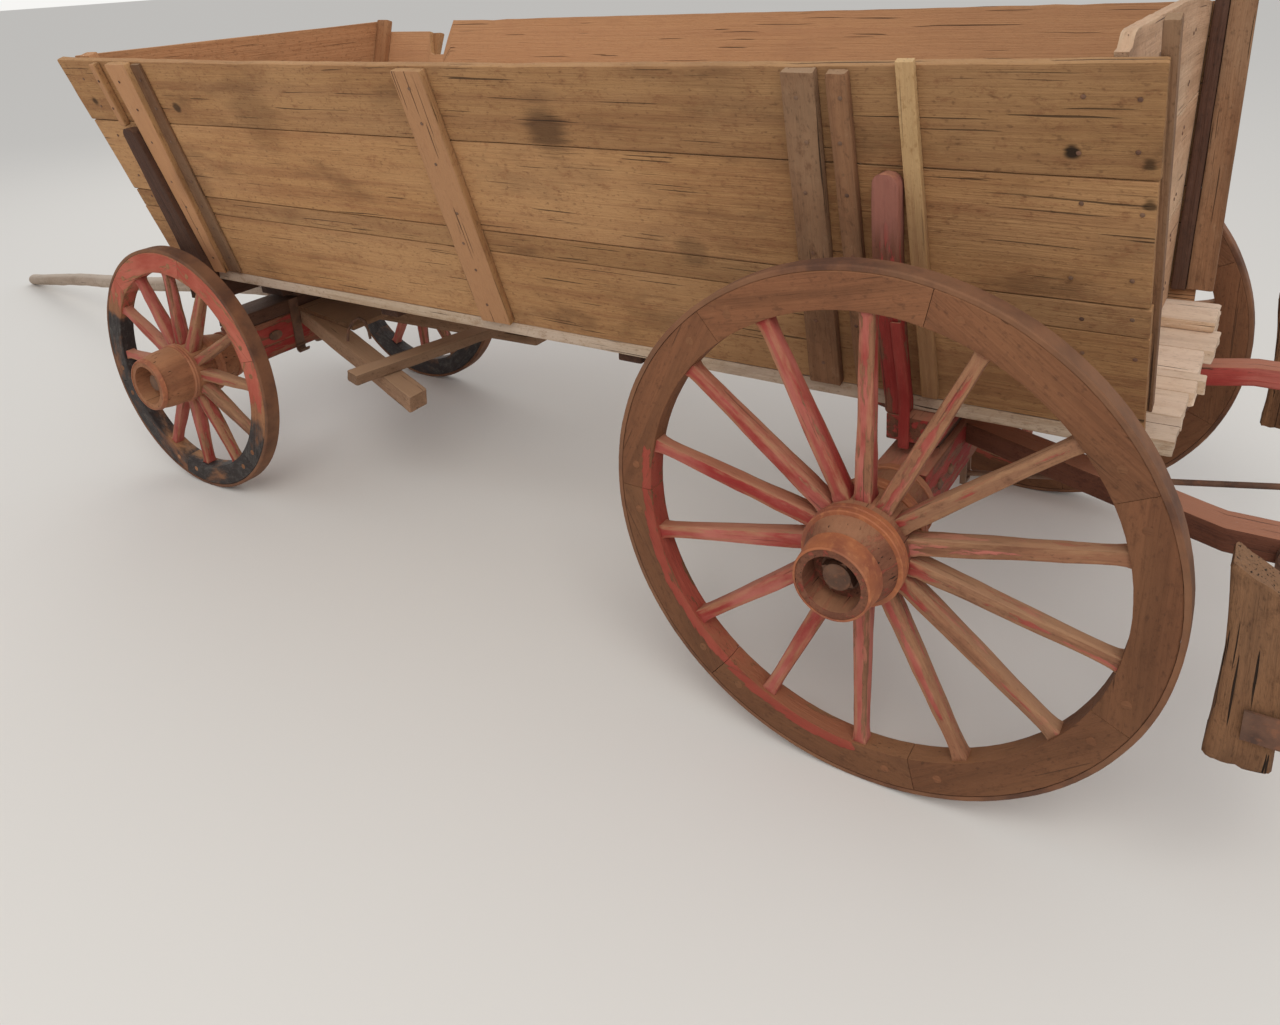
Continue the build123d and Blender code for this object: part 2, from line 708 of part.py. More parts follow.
upper_plate.part.label = "upper_plate"
export_step(upper_plate.part, "parts/upper_plate.step")

KING_NUT_H = 20.0
KING_BOTTOM = FRONT_BED_BOTTOM - KING_NUT_H - 12

with BuildPart() as king_bolt:
    upright_rod(FRONT_AXLE_X, 0, KING_BOLT_R, (KING_BOTTOM, FLOOR_BOTTOM - 1))
    upright_rod(FRONT_AXLE_X, 0, KING_HEAD_R, (FLOOR_BOTTOM - KING_HEAD_H, FLOOR_BOTTOM - 1))
    with BuildSketch(Plane.XY.offset(FRONT_BED_BOTTOM - 1)) as nut:
        with Locations((FRONT_AXLE_X, 0)):
            Rectangle(2 * KING_HEAD_R - 8, 2 * KING_HEAD_R - 8)
    extrude(nut.sketch, amount=-KING_NUT_H)

king_bolt.part.label = "king_bolt"
export_step(king_bolt.part, "parts/king_bolt.step")

# Front gear: two hounds let in between axle bed and sand bolster, falling rearwards, and a board across them
HOUND_BOARD_BACK = (75.0, 383.0)
HOUND_BOARD_HALF = 127.0
HOUND_BOARD_T = 18.0
HOUND_PLANE = Plane(
    origin=(FRONT_AXLE_X, 0, FRONT_HOUND_TOP),
    x_dir=(cos(radians(FRONT_HOUND_FALL)), 0, sin(radians(FRONT_HOUND_FALL))),
    z_dir=(-sin(radians(FRONT_HOUND_FALL)), 0, cos(radians(FRONT_HOUND_FALL))),
)


def front_hound_corners(side):
    """Outline of a front hound on the tilted plane, mitred against its twin on the centre line."""
    across = FRONT_HOUND_W * hypot(1, FRONT_HOUND_SLOPE)
    rear = -FRONT_HOUND_BACK
    front = FRONT_BED_W
    outline = (
        (rear, FRONT_HOUND_Y),
        (front, FRONT_HOUND_Y - FRONT_HOUND_SLOPE * (front - rear)),
        (front, SEAT_GAP / 2),
        (rear + (FRONT_HOUND_Y - across) / FRONT_HOUND_SLOPE, SEAT_GAP / 2),
        (rear, FRONT_HOUND_Y - across),
    )
    return [(x, side * y) for x, y in outline]


with BuildPart() as front_hounds:
    for side in BOTH:
        plan_timber(front_hound_corners(side), 0, -FRONT_HOUND_H, HOUND_PLANE)
    split(bisect_by=Plane(origin=(FRONT_X[1], 0, 0), z_dir=(1, 0, 0)), keep=Keep.BOTTOM)
    upright_rod(FRONT_AXLE_X, 0, KING_CLEAR_R, (FRONT_BED_BOTTOM, SAND_BOLSTER_TOP), Mode.SUBTRACT)
    with BuildSketch(HOUND_PLANE) as board_outline:
        with Locations((-sum(HOUND_BOARD_BACK) / 2, 0)):
            Rectangle(HOUND_BOARD_BACK[1] - HOUND_BOARD_BACK[0], 2 * HOUND_BOARD_HALF)
    extrude(board_outline.sketch, amount=HOUND_BOARD_T)

front_hounds.part.label = "front_hounds"
export_step(front_hounds.part, "parts/front_hounds.step")

with BuildPart() as front_axle_bed:
    timber(FRONT_X, (-FRONT_BED_HALF, FRONT_BED_HALF), (FRONT_BED_BOTTOM, FRONT_BED_TOP))
    add(front_hounds.part, mode=Mode.SUBTRACT)
    upright_rod(FRONT_AXLE_X, 0, KING_CLEAR_R, (FRONT_BED_BOTTOM, FRONT_BED_TOP), Mode.SUBTRACT)

front_axle_bed.part.label = "front_axle_bed"
export_step(front_axle_bed.part, "parts/front_axle_bed.step")

with BuildPart() as sand_bolster:
    timber(FRONT_X, (-FRONT_BED_HALF, FRONT_BED_HALF), (FRONT_BED_TOP, SAND_BOLSTER_TOP))
    add(front_hounds.part, mode=Mode.SUBTRACT)
    upright_rod(FRONT_AXLE_X, 0, KING_CLEAR_R, (FRONT_BED_TOP, SAND_BOLSTER_TOP), Mode.SUBTRACT)

sand_bolster.part.label = "sand_bolster"
export_step(sand_bolster.part, "parts/sand_bolster.step")

with BuildPart() as lower_plate:
    upright_rod(FRONT_AXLE_X, 0, PLATE_R, (SAND_BOLSTER_TOP, SAND_BOLSTER_TOP + PLATE_T))
    with BuildSketch(Plane.XY.offset(SAND_BOLSTER_TOP)) as bed_width:
        with Locations((FRONT_AXLE_X, 0)):
            Rectangle(FRONT_BED_W - 4, 2 * PLATE_R)
    extrude(bed_width.sketch, amount=PLATE_T, mode=Mode.INTERSECT)
    upright_rod(FRONT_AXLE_X, 0, KING_CLEAR_R, (SAND_BOLSTER_TOP, SAND_BOLSTER_TOP + PLATE_T), Mode.SUBTRACT)

lower_plate.part.label = "lower_plate"
export_step(lower_plate.part, "parts/lower_plate.step")

with BuildPart() as sway_bar:
    with BuildSketch(HOUND_PLANE) as bar:
        with Locations((-SWAY_BAR_BACK / cos(radians(FRONT_HOUND_FALL)), 0)):
            Rectangle(SWAY_BAR_W, 2 * SWAY_BAR_HALF, rotation=-SWAY_BAR_SKEW)
    extrude(bar.sketch, amount=SWAY_BAR_T)

sway_bar.part.label = "sway_bar"
export_step(sway_bar.part, "parts/sway_bar.step")

# Irons on the rear face of the front axle bed: a strap with a hooked foot and a lug plate on each side
BED_STRAP_Y = (119.0, 158.0)
BED_STRAP_T = 6.0
BED_STRAP_FOOT = 400.0
HOOK_R = 16.0
HOOK_HOLE_R = 10.0
LUG_Y = 242.0
LUG_Z = 484.0
LUG_R = (28.0, 18.0)
LUG_T = 8.0

with BuildPart() as front_gear_irons:
    for side in BOTH:
        near, far = sorted(side * y for y in BED_STRAP_Y)
        with BuildSketch(Plane.XZ.offset(-near)) as strap:
            with Locations((FRONT_X[0] - HOOK_R, BED_STRAP_FOOT)):
                Circle(HOOK_R)
                Circle(HOOK_HOLE_R, mode=Mode.SUBTRACT)
            with Locations((FRONT_X[0] - 2 * HOOK_R, BED_STRAP_FOOT + HOOK_R / 2)):
                Rectangle(2 * HOOK_R, HOOK_R, mode=Mode.SUBTRACT)
            with Locations((FRONT_X[0] - BED_STRAP_T / 2, (BED_STRAP_FOOT + SAND_BOLSTER_TOP) / 2)):
                Rectangle(BED_STRAP_T, SAND_BOLSTER_TOP - BED_STRAP_FOOT)
        extrude(strap.sketch, amount=near - far)
        with BuildSketch(cross_plane(FRONT_X[0])) as lug:
            with Locations((side * LUG_Y, LUG_Z)):
                Ellipse(*LUG_R)
        extrude(lug.sketch, amount=-LUG_T)

front_gear_irons.part.label = "front_gear_irons"
export_step(front_gear_irons.part, "parts/front_gear_irons.step")

# Pole jaw: two iron cheeks turned with the pole, carried by the front of the bed and sand bolster
POLE_PLANE = Plane(
    origin=(fore(POLE_PIN_FORE), 0, POLE_PIN_Z),
    x_dir=(cos(radians(POLE_YAW)), sin(radians(POLE_YAW)), 0),
    z_dir=(0, 0, 1),
)
POLE_SIDE = POLE_PLANE.y_dir
CHEEK_IN = POLE_ROOT_R + JAW_GAP
CHEEK_REAR = POLE_PIN_FORE - WHEELBASE - FRONT_BED_W / 2

with BuildPart() as pole_jaw:
    for side in BOTH:
        cheek_plane = Plane(
            origin=POLE_PLANE.origin + POLE_SIDE * side * CHEEK_IN,
            x_dir=POLE_PLANE.x_dir,
            z_dir=POLE_SIDE * side,
        )
        with BuildSketch(cheek_plane) as cheek:
            Circle(JAW_H / 2)
            with Locations((-CHEEK_REAR, 0)):
                Rectangle(2 * CHEEK_REAR, JAW_H)
        extrude(cheek.sketch, amount=JAW_T)
    with BuildSketch(Plane.XY.offset(FRONT_BED_BOTTOM)) as bed_space:
        with Locations((FRONT_AXLE_X - FRONT_BED_W, 0)):
            Rectangle(3 * FRONT_BED_W, 2 * FRONT_BED_HALF)
    extrude(bed_space.sketch, amount=FLOOR_TOP, mode=Mode.SUBTRACT)
    with BuildSketch(Plane(origin=POLE_PLANE.origin, x_dir=POLE_PLANE.x_dir, z_dir=POLE_SIDE)) as pin_hole:
        Circle(POLE_PIN_R + SEAT_GAP)
    extrude(pin_hole.sketch, amount=2 * CHEEK_IN, both=True, mode=Mode.SUBTRACT)

pole_jaw.part.label = "pole_jaw"
export_step(pole_jaw.part, "parts/pole_jaw.step")

PIN_HEAD = 8.0

with BuildPart() as pole_pin:
    pin_half = CHEEK_IN + JAW_T
    with BuildSketch(Plane(origin=POLE_PLANE.origin, x_dir=POLE_PLANE.x_dir, z_dir=POLE_SIDE)) as shank:
        Circle(POLE_PIN_R)
    extrude(shank.sketch, amount=pin_half, both=True)
    for side in BOTH:
        head_plane = Plane(
            origin=POLE_PLANE.origin + POLE_SIDE * side * pin_half,
            x_dir=POLE_PLANE.x_dir,
            z_dir=POLE_SIDE * side,
        )
        with BuildSketch(head_plane) as head:
            Circle(2 * POLE_PIN_R)
        extrude(head.sketch, amount=PIN_HEAD)

pole_pin.part.label = "pole_pin"
export_step(pole_pin.part, "parts/pole_pin.step")

# Draught pole: a round log that thickens to its root, with a round tip end resting on the ground
TIP_RUN = POLE_REACH - POLE_TIP_R - POLE_PIN_FORE
POLE_TIP = Vector(
    fore(POLE_REACH - POLE_TIP_R), TIP_RUN * tan(radians(POLE_YAW)), POLE_TIP_R
)
POLE_LINE = POLE_TIP - POLE_PLANE.origin
POLE_LENGTH = POLE_LINE.length
POLE_AXIS_PLANE = Plane(origin=POLE_PLANE.origin, x_dir=POLE_LINE, z_dir=POLE_SIDE)

with BuildPart() as draught_pole:
    with BuildSketch(POLE_AXIS_PLANE) as profile:
        with BuildLine():
            Polyline((-POLE_ROOT_R, 0), (-POLE_ROOT_R, POLE_ROOT_R), (POLE_LENGTH, POLE_TIP_R))
            ThreePointArc(
                (POLE_LENGTH, POLE_TIP_R),
                (POLE_LENGTH + POLE_TIP_R / sqrt(2), POLE_TIP_R / sqrt(2)),
                (POLE_LENGTH + POLE_TIP_R, 0),
            )
            Line((POLE_LENGTH + POLE_TIP_R, 0), (-POLE_ROOT_R, 0))
        make_face()
    revolve(profile.sketch, axis=Axis(POLE_PLANE.origin, POLE_LINE))
    with BuildSketch(POLE_AXIS_PLANE) as pin_hole:
        Circle(POLE_PIN_R + PIN_GAP)
    extrude(pin_hole.sketch, amount=2 * POLE_ROOT_R, both=True, mode=Mode.SUBTRACT)
    with BuildSketch(POLE_AXIS_PLANE) as tip_hole:
        with Locations((POLE_LENGTH - 3 * POLE_TIP_R, 0)):
            Circle(POLE_TIP_HOLE_R)
    extrude(tip_hole.sketch, amount=2 * POLE_ROOT_R, both=True, mode=Mode.SUBTRACT)

draught_pole.part.label = "draught_pole"
export_step(draught_pole.part, "parts/draught_pole.step")

# Brake: a cross beam with a block behind each rear tyre, hung from pins in the rear hounds
BLOCK_FRONT = -(REAR_WHEEL_R + BRAKE_GAP)
BLOCK_REAR = BLOCK_FRONT - BLOCK_DEPTH
BEAM_REAR = BLOCK_REAR - BRAKE_BEAM_W
BLOCK_SHOULDER = 16.0
BLOCK_PEAK_BACK = 24.0
BLOCK_TOP_FALL = 63.0
BLOCK_CORNER = 25.0

with BuildPart() as brake_beam:
    timber((fore(BEAM_REAR), fore(BLOCK_REAR)), (-BLOCK_Y[1] + 15, BLOCK_Y[1] - 15), BRAKE_BEAM_Z)

brake_beam.part.label = "brake_beam"
export_step(brake_beam.part, "parts/brake_beam.step")

with BuildPart() as brake_blocks:
    for side in BOTH:
        near, far = sorted(side * y for y in BLOCK_Y)
        with BuildSketch(Plane.XZ.offset(-near)) as outline:
            with BuildLine():
                ThreePointArc(
                    (fore(BLOCK_FRONT), BLOCK_Z[0] + BLOCK_CORNER),
                    (fore(BLOCK_FRONT - BLOCK_HOLLOW), sum(BLOCK_Z) / 2),
                    (fore(BLOCK_FRONT), BLOCK_Z[1] - BLOCK_SHOULDER),
                )
                Polyline(
                    (fore(BLOCK_FRONT), BLOCK_Z[1] - BLOCK_SHOULDER),
                    (fore(BLOCK_FRONT - BLOCK_PEAK_BACK), BLOCK_Z[1]),
                    (fore(BLOCK_REAR), BLOCK_Z[1] - BLOCK_TOP_FALL),
                    (fore(BLOCK_REAR), BLOCK_Z[0] + BLOCK_CORNER),
                    (fore(BLOCK_REAR + BLOCK_CORNER), BLOCK_Z[0]),
                    (fore(BLOCK_FRONT - BLOCK_CORNER), BLOCK_Z[0]),
                    (fore(BLOCK_FRONT), BLOCK_Z[0] + BLOCK_CORNER),
                )
            make_face()
        extrude(outline.sketch, amount=near - far)

brake_blocks.part.label = "brake_blocks"
export_step(brake_blocks.part, "parts/brake_blocks.step")

# Iron straps hold each block against the beam
STRAP_T = 5.0
STRAP_W = 60.0

# Hangers: flat irons against the front of the beam, turning on pins through the hounds
HANGER_Y = REAR_HOUND_OUT + MOVE_GAP

# Pull rod on the centre line: its rear end turns on a pin in a post that stands on the beam
POST_FORE = (BLOCK_REAR + BEAM_REAR) / 2
POST_T = 10.0
POST_W = 36.0
ROD_PIN_R = 6.0
ROD_SIDE = 1.0

with BuildPart() as brake_irons:
    for side in BOTH:
        strap_z = (sum(BRAKE_BEAM_Z) - STRAP_W) / 2
        face_y = side * BLOCK_Y[1]
        timber(
            (fore(BEAM_REAR), fore(BLOCK_FRONT - BLOCK_DEPTH / 2)),
            sorted((face_y, face_y + side * STRAP_T)),
            (strap_z, strap_z + STRAP_W),
        )
        near, far = sorted((side * HANGER_Y, side * (HANGER_Y + HANGER_T)))
        with BuildSketch(Plane.XZ.offset(-near)) as outline:
            with Locations((fore(HANGER_PIN_FORE), HANGER_PIN_Z)):
                Circle(HANGER_W / 2)
            with Locations((fore(HANGER_PIN_FORE), (HANGER_PIN_Z + BRAKE_BEAM_Z[0]) / 2)):
                Rectangle(HANGER_W, HANGER_PIN_Z - BRAKE_BEAM_Z[0])
            with Locations((fore(HANGER_PIN_FORE), HANGER_PIN_Z)):
                Circle(HANGER_PIN_R + PIN_GAP, mode=Mode.SUBTRACT)
        extrude(outline.sketch, amount=near - far)
        near, far = sorted((side * (ROD_R + ROD_SIDE), side * (ROD_R + ROD_SIDE + POST_T)))
        with BuildSketch(Plane.XZ.offset(-near)) as outline:
            with Locations((fore(POST_FORE), ROD_PIN_Z)):
                Circle(POST_W / 2)
            with Locations((fore(POST_FORE), (ROD_PIN_Z + BRAKE_BEAM_Z[1]) / 2)):
                Rectangle(POST_W, ROD_PIN_Z - BRAKE_BEAM_Z[1])
        extrude(outline.sketch, amount=near - far)
    cross_rod(fore(POST_FORE), ROD_PIN_Z, ROD_PIN_R, (-ROD_R - ROD_SIDE, ROD_R + ROD_SIDE))

brake_irons.part.label = "brake_irons"
export_step(brake_irons.part, "parts/brake_irons.step")

ROD_DROP = tan(radians(ROD_FALL))
ROD_REAR = Vector(fore(POST_FORE), 0, ROD_PIN_Z)
ROD_END = Vector(fore(ROD_FRONT), 0, ROD_PIN_Z - ROD_DROP * (ROD_FRONT - POST_FORE))
ROD_LINE = ROD_END - ROD_REAR
ROD_BOSS_R = ROD_PIN_R + 10

with BuildPart() as brake_rod:
    with BuildSketch(Plane(origin=ROD_REAR, z_dir=ROD_LINE)) as section:
        Circle(ROD_R)
    extrude(section.sketch, amount=ROD_LINE.length)
    with BuildSketch(Plane.XZ) as eyes:
        with Locations((ROD_REAR.X, ROD_REAR.Z)):
            Circle(ROD_BOSS_R)
        with Locations((ROD_END.X, ROD_END.Z)):
            Circle(ROD_EYE_R)
    extrude(eyes.sketch, amount=ROD_R - 1.5, both=True)
    with BuildSketch(Plane.XZ) as holes:
        with Locations((ROD_REAR.X, ROD_REAR.Z)):
            Circle(ROD_PIN_R + PIN_GAP)
        with Locations((ROD_END.X, ROD_END.Z)):
            Circle(ROD_EYE_HOLE_R)
    extrude(holes.sketch, amount=2 * ROD_R, both=True, mode=Mode.SUBTRACT)

brake_rod.part.label = "brake_rod"
export_step(brake_rod.part, "parts/brake_rod.step")

# Guide staple for the rod, hanging from the rear axle bed
GUIDE_BAR = 8.0
GUIDE_W = 30.0
GUIDE_ROD_Z = ROD_PIN_Z + ROD_DROP * POST_FORE
GUIDE_BOTTOM = GUIDE_ROD_Z - ROD_R - 2 * MOVE_GAP - 6

with BuildPart() as rear_gear_irons:
    for side in BOTH:
        inner = side * (REAR_HOUND_IN - MOVE_GAP)
        outer = side * (HANGER_Y + HANGER_T + MOVE_GAP)
        cross_rod(fore(HANGER_PIN_FORE), HANGER_PIN_Z, HANGER_PIN_R, sorted((inner, outer)))
        cross_rod(
            fore(HANGER_PIN_FORE),
            HANGER_PIN_Z,
            2 * HANGER_PIN_R,
            sorted((outer - side * (MOVE_GAP - 1), outer + side * 3)),
        )
        cross_rod(
            fore(HANGER_PIN_FORE),
            HANGER_PIN_Z,
            2 * HANGER_PIN_R,
            sorted((inner, side * (REAR_HOUND_IN - SEAT_GAP))),
        )
    with BuildSketch(cross_plane(fore(-GUIDE_BAR))) as loop:
        with Locations((0, (GUIDE_BOTTOM + REAR_BED_BOTTOM) / 2)):
            Rectangle(GUIDE_W + 2 * GUIDE_BAR, REAR_BED_BOTTOM - GUIDE_BOTTOM)
        with Locations((0, (GUIDE_BOTTOM + GUIDE_BAR + REAR_BED_BOTTOM) / 2)):
            Rectangle(GUIDE_W, REAR_BED_BOTTOM - GUIDE_BOTTOM - GUIDE_BAR, mode=Mode.SUBTRACT)
    extrude(loop.sketch, amount=2 * GUIDE_BAR)

rear_gear_irons.part.label = "rear_gear_irons"
export_step(rear_gear_irons.part, "parts/rear_gear_irons.step")

# Wheels: distances called "out" run outwards from a rim's outer face along the axle
# "phase" and "joint_phase" turn the spokes and the felloes' joints by parts of one spoke's pitch
WheelKind = namedtuple(
    "WheelKind",
    "name axle_x radius face_y spokes phase felloes joint_phase felloe_depth "
    "nose_out nose_r nose_band belly recess_r collar_out collar_r hub_r tail",
)
WHEEL_KINDS = (
    WheelKind(
        name="rear", axle_x=REAR_AXLE_X, radius=REAR_WHEEL_R, face_y=REAR_FACE_Y,
        spokes=14, phase=0.5, felloes=7, joint_phase=0.0, felloe_depth=80,
        nose_out=153, nose_r=81, nose_band=54, belly=2, recess_r=61,
        collar_out=(18.0, 53.0), collar_r=109, hub_r=103, tail=REAR_NAVE_TAIL,
    ),
    WheelKind(
        name="front", axle_x=FRONT_AXLE_X, radius=FRONT_WHEEL_R, face_y=FRONT_FACE_Y,
        spokes=12, phase=0.0, felloes=6, joint_phase=0.5, felloe_depth=74,
        nose_out=139, nose_r=92, nose_band=16, belly=5, recess_r=70,
        collar_out=(4.0, 22.0), collar_r=109, hub_r=106, tail=FRONT_NAVE_TAIL,
    ),
)
INNER_COLLAR_OUT = (-105.0, -72.0)
TAIL_BAND_W = 26.0
TAIL_R = 86.0
SpokeStation = namedtuple("SpokeStation", "place width depth chamfer")


def hub_plane(kind, side):
    """Plane on a rim's outer face, centred on the axle, facing outwards."""
    return Plane(origin=(kind.axle_x, side * kind.face_y, kind.radius), x_dir=(1, 0, 0), z_dir=(0, side, 0))


def turned(kind, side, profile):
    """Ring or nave turned about a wheel's axle: the profile's corners are (out, radius)."""
    centre = (kind.axle_x, side * kind.face_y, kind.radius)
    with BuildSketch(Plane(origin=centre, x_dir=(0, side, 0), z_dir=(1, 0, 0))) as section:
        with BuildLine():
            Polyline(*profile, close=True)
        make_face()
    revolve(section.sketch, axis=Axis(centre, (0, side, 0)))


def nave_profile(kind):
    """Outline of a nave's wood from nose to tail, with seats for its four iron bands."""
    bore = ARM_R + PIN_GAP
    nose_in = kind.nose_out - kind.nose_band
    recess_in = kind.nose_out - RECESS_DEPTH
    return (
        (kind.nose_out - 2, kind.recess_r),
        (kind.nose_out - 2, kind.nose_r - BAND_T),
        (nose_in, kind.nose_r),
        ((nose_in + kind.collar_out[1]) / 2, (kind.nose_r + kind.hub_r) / 2 + kind.belly),
        (kind.collar_out[1], kind.hub_r - 4),
        (kind.collar_out[0], kind.hub_r),
        (INNER_COLLAR_OUT[1], kind.hub_r),
        (INNER_COLLAR_OUT[0], kind.hub_r - 3),
        (-kind.tail + TAIL_BAND_W, TAIL_R),
        (-kind.tail, TAIL_R - 3),
        (-kind.tail, bore),
        (recess_in, bore),
        (recess_in, kind.recess_r),
    )


def band_profiles(kind):
    """Nose band, the two collars beside the spokes and the tail band."""
    nose_in = kind.nose_out - kind.nose_band
    gap = SEAT_GAP
    return (
        (
            (kind.nose_out, kind.nose_r - BAND_T + gap),
            (kind.nose_out, kind.nose_r),
            (nose_in, kind.nose_r + BAND_T),
            (nose_in, kind.nose_r + gap),
        ),
        (
            (kind.collar_out[1], kind.hub_r - 4 + gap),
            (kind.collar_out[1], kind.collar_r),
            (kind.collar_out[0], kind.collar_r),
            (kind.collar_out[0], kind.hub_r + gap),
        ),
        (
            (INNER_COLLAR_OUT[1], kind.hub_r + gap),
            (INNER_COLLAR_OUT[1], kind.collar_r),
            (INNER_COLLAR_OUT[0], kind.collar_r),
            (INNER_COLLAR_OUT[0], kind.hub_r - 3 + gap),
        ),
        (
            (-kind.tail + TAIL_BAND_W, TAIL_R + gap),
            (-kind.tail + TAIL_BAND_W, TAIL_R + BAND_T),
            (-kind.tail, TAIL_R + BAND_T - 3),
            (-kind.tail, TAIL_R - 3 + gap),
        ),
    )


def spoke_stations(kind):
    """Sections along a spoke: place is the distance from the axle, width runs along the rim."""
    rim_in = kind.radius - TYRE_T - kind.felloe_depth
    return (
        SpokeStation(kind.hub_r - 12, 39, 50, 3),
        SpokeStation(kind.hub_r + 70, 41, 47, 11),
        SpokeStation(rim_in - 40, 31, 36, 9),
        SpokeStation(rim_in + 12, 34, 38, 3),
    )


for kind in WHEEL_KINDS:
    rim_in = kind.radius - TYRE_T - kind.felloe_depth
    felloe_out = kind.radius - TYRE_T - SEAT_GAP
    for side_name, side in SIDES:
        wheel_name = f"{kind.name}_{side_name}"
        face = hub_plane(kind, side)

        with BuildPart() as nave:
            turned(kind, side, nave_profile(kind))

        nave.part.label = f"{wheel_name}_nave"
        export_step(nave.part, f"parts/{nave.part.label}.step")

        with BuildPart() as bands:
            for profile in band_profiles(kind):
                turned(kind, side, profile)

        bands.part.label = f"{wheel_name}_bands"
        export_step(bands.part, f"parts/{bands.part.label}.step")

        with BuildPart() as spokes:
            for number in range(kind.spokes):
                angle = 2 * pi * (number + kind.phase) / kind.spokes
                outwards = Vector(cos(angle), 0, sin(angle))
                spoke_centre = face.origin - face.z_dir * (RIM_W / 2)
                for station in spoke_stations(kind):
                    station_plane = Plane(
                        origin=spoke_centre + outwards * station.place, x_dir=(0, 1, 0), z_dir=outwards
                    )
                    with BuildSketch(station_plane) as section:
                        Rectangle(station.depth, station.width)
                        chamfer(section.vertices(), length=station.chamfer)
                loft(ruled=True)
            with BuildSketch(face) as ring_space:
                Circle(rim_in - SEAT_GAP)
                Circle(kind.hub_r + SEAT_GAP, mode=Mode.SUBTRACT)
            extrude(ring_space.sketch, amount=-kind.tail, mode=Mode.INTERSECT)

        spokes.part.label = f"{wheel_name}_spokes"
        export_step(spokes.part, f"parts/{spokes.part.label}.step")

        with BuildPart() as felloes:
            with BuildSketch(face) as rim:
                Circle(felloe_out)
                Circle(rim_in, mode=Mode.SUBTRACT)
                joint_turn = 360 * kind.joint_phase / kind.spokes
                with PolarLocations((rim_in + felloe_out) / 2, kind.felloes, start_angle=joint_turn):
                    Rectangle(2 * kind.felloe_depth, FELLOE_JOINT, mode=Mode.SUBTRACT)
            extrude(rim.sketch, amount=-RIM_W)

        felloes.part.label = f"{wheel_name}_felloes"
        export_step(felloes.part, f"parts/{felloes.part.label}.step")

        with BuildPart() as tyre:
            with BuildSketch(face) as ring:
                Circle(kind.radius)
                Circle(kind.radius - TYRE_T, mode=Mode.SUBTRACT)
            extrude(ring.sketch, amount=-RIM_W)

        tyre.part.label = f"{wheel_name}_tyre"
        export_step(tyre.part, f"parts/{tyre.part.label}.step")

# Axle arms: a collar against the bed, the arm through the nave, then washer, nut and arm end
ArmSeat = namedtuple("ArmSeat", "kind bed_half")

for seat in (ArmSeat(WHEEL_KINDS[0], REAR_BED_HALF), ArmSeat(WHEEL_KINDS[1], FRONT_BED_HALF)):
    kind = seat.kind
    washer_out = kind.nose_out - RECESS_DEPTH + 1
    nut_out = washer_out + WASHER_T
    with BuildPart() as arms:
        for side_name, side in SIDES:
            face = hub_plane(kind, side)
            collar_start = seat.bed_half - kind.face_y
            for radius, start, end in (
                (ARM_COLLAR_R, collar_start, collar_start + ARM_COLLAR_T),
                (ARM_R, collar_start + ARM_COLLAR_T, nut_out + NUT_T + 4),
                (WASHER_R, washer_out, nut_out),
            ):
                with BuildSketch(face.offset(start)) as ring:
                    Circle(radius)
                extrude(ring.sketch, amount=end - start)
            with BuildSketch(face.offset(nut_out)) as nut:
                Rectangle(NUT_SQUARE, NUT_SQUARE, rotation=20)
            extrude(nut.sketch, amount=NUT_T)
    arms.part.label = f"{kind.name}_axle_arms"
    export_step(arms.part, f"parts/{arms.part.label}.step")
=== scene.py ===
import math
import random
from collections import namedtuple

import bmesh
import bpy
from mathutils import Matrix, Vector, noise


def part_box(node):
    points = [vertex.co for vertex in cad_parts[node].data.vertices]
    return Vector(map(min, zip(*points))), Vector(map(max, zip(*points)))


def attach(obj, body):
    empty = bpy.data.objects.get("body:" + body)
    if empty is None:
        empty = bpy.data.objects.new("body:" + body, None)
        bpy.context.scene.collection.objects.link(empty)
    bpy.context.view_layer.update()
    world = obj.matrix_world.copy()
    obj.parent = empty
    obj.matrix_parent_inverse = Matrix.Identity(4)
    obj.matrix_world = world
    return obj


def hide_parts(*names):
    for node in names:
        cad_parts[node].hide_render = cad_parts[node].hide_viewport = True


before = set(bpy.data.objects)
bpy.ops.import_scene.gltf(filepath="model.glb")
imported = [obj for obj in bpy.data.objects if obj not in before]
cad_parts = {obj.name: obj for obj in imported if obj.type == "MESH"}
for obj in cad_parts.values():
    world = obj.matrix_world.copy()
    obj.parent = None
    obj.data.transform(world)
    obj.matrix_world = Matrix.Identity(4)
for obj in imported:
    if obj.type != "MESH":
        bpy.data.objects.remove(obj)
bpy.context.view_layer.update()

bl_info = {
    "name": "Flared-box ox wagon",
    "version": (1, 0, 0),
    "blender": (4, 5, 0),
    "location": "View3D > Sidebar > Wagon",
    "description": "Weathered woodwork, spoked wheels and rusty ironwork of a four-wheeled farm wagon",
    "category": "Object",
}

# Metres. X runs forward, Y to the left side and Z up from the ground.
REAR_X = sum(corner.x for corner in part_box("rear_left_tyre")) / 2
FRONT_X = sum(corner.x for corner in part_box("front_left_tyre")) / 2
FLOOR_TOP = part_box("floor_boards")[1].z
FLOOR_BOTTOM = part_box("floor_boards")[0].z
FLOOR_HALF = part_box("floor_boards")[1].y
FLARE = 0.34
LEAN = math.atan(FLARE)
WALL_T = 0.025
WALL_TOP = 1.562
WALL_REAR = REAR_X - 0.460
WALL_FRONT = FRONT_X + 0.165
POLE_YAW = math.radians(-9.6)
SIDES = (("left", 1), ("right", -1))
# Clearance between faces that would otherwise lie in each other
CLEAR = 0.0002


def fore(millimetres):
    """X of a place that lies this far forward of the rear axle."""
    return REAR_X + millimetres / 1000


def wall_point(side, x, z, depth=0.0):
    """Point on a side wall's outer face, or this deep inside it."""
    y = FLOOR_HALF + FLARE * (z - FLOOR_TOP)
    return Vector((x, side * (y - math.cos(LEAN) * depth), z + math.sin(LEAN) * depth))


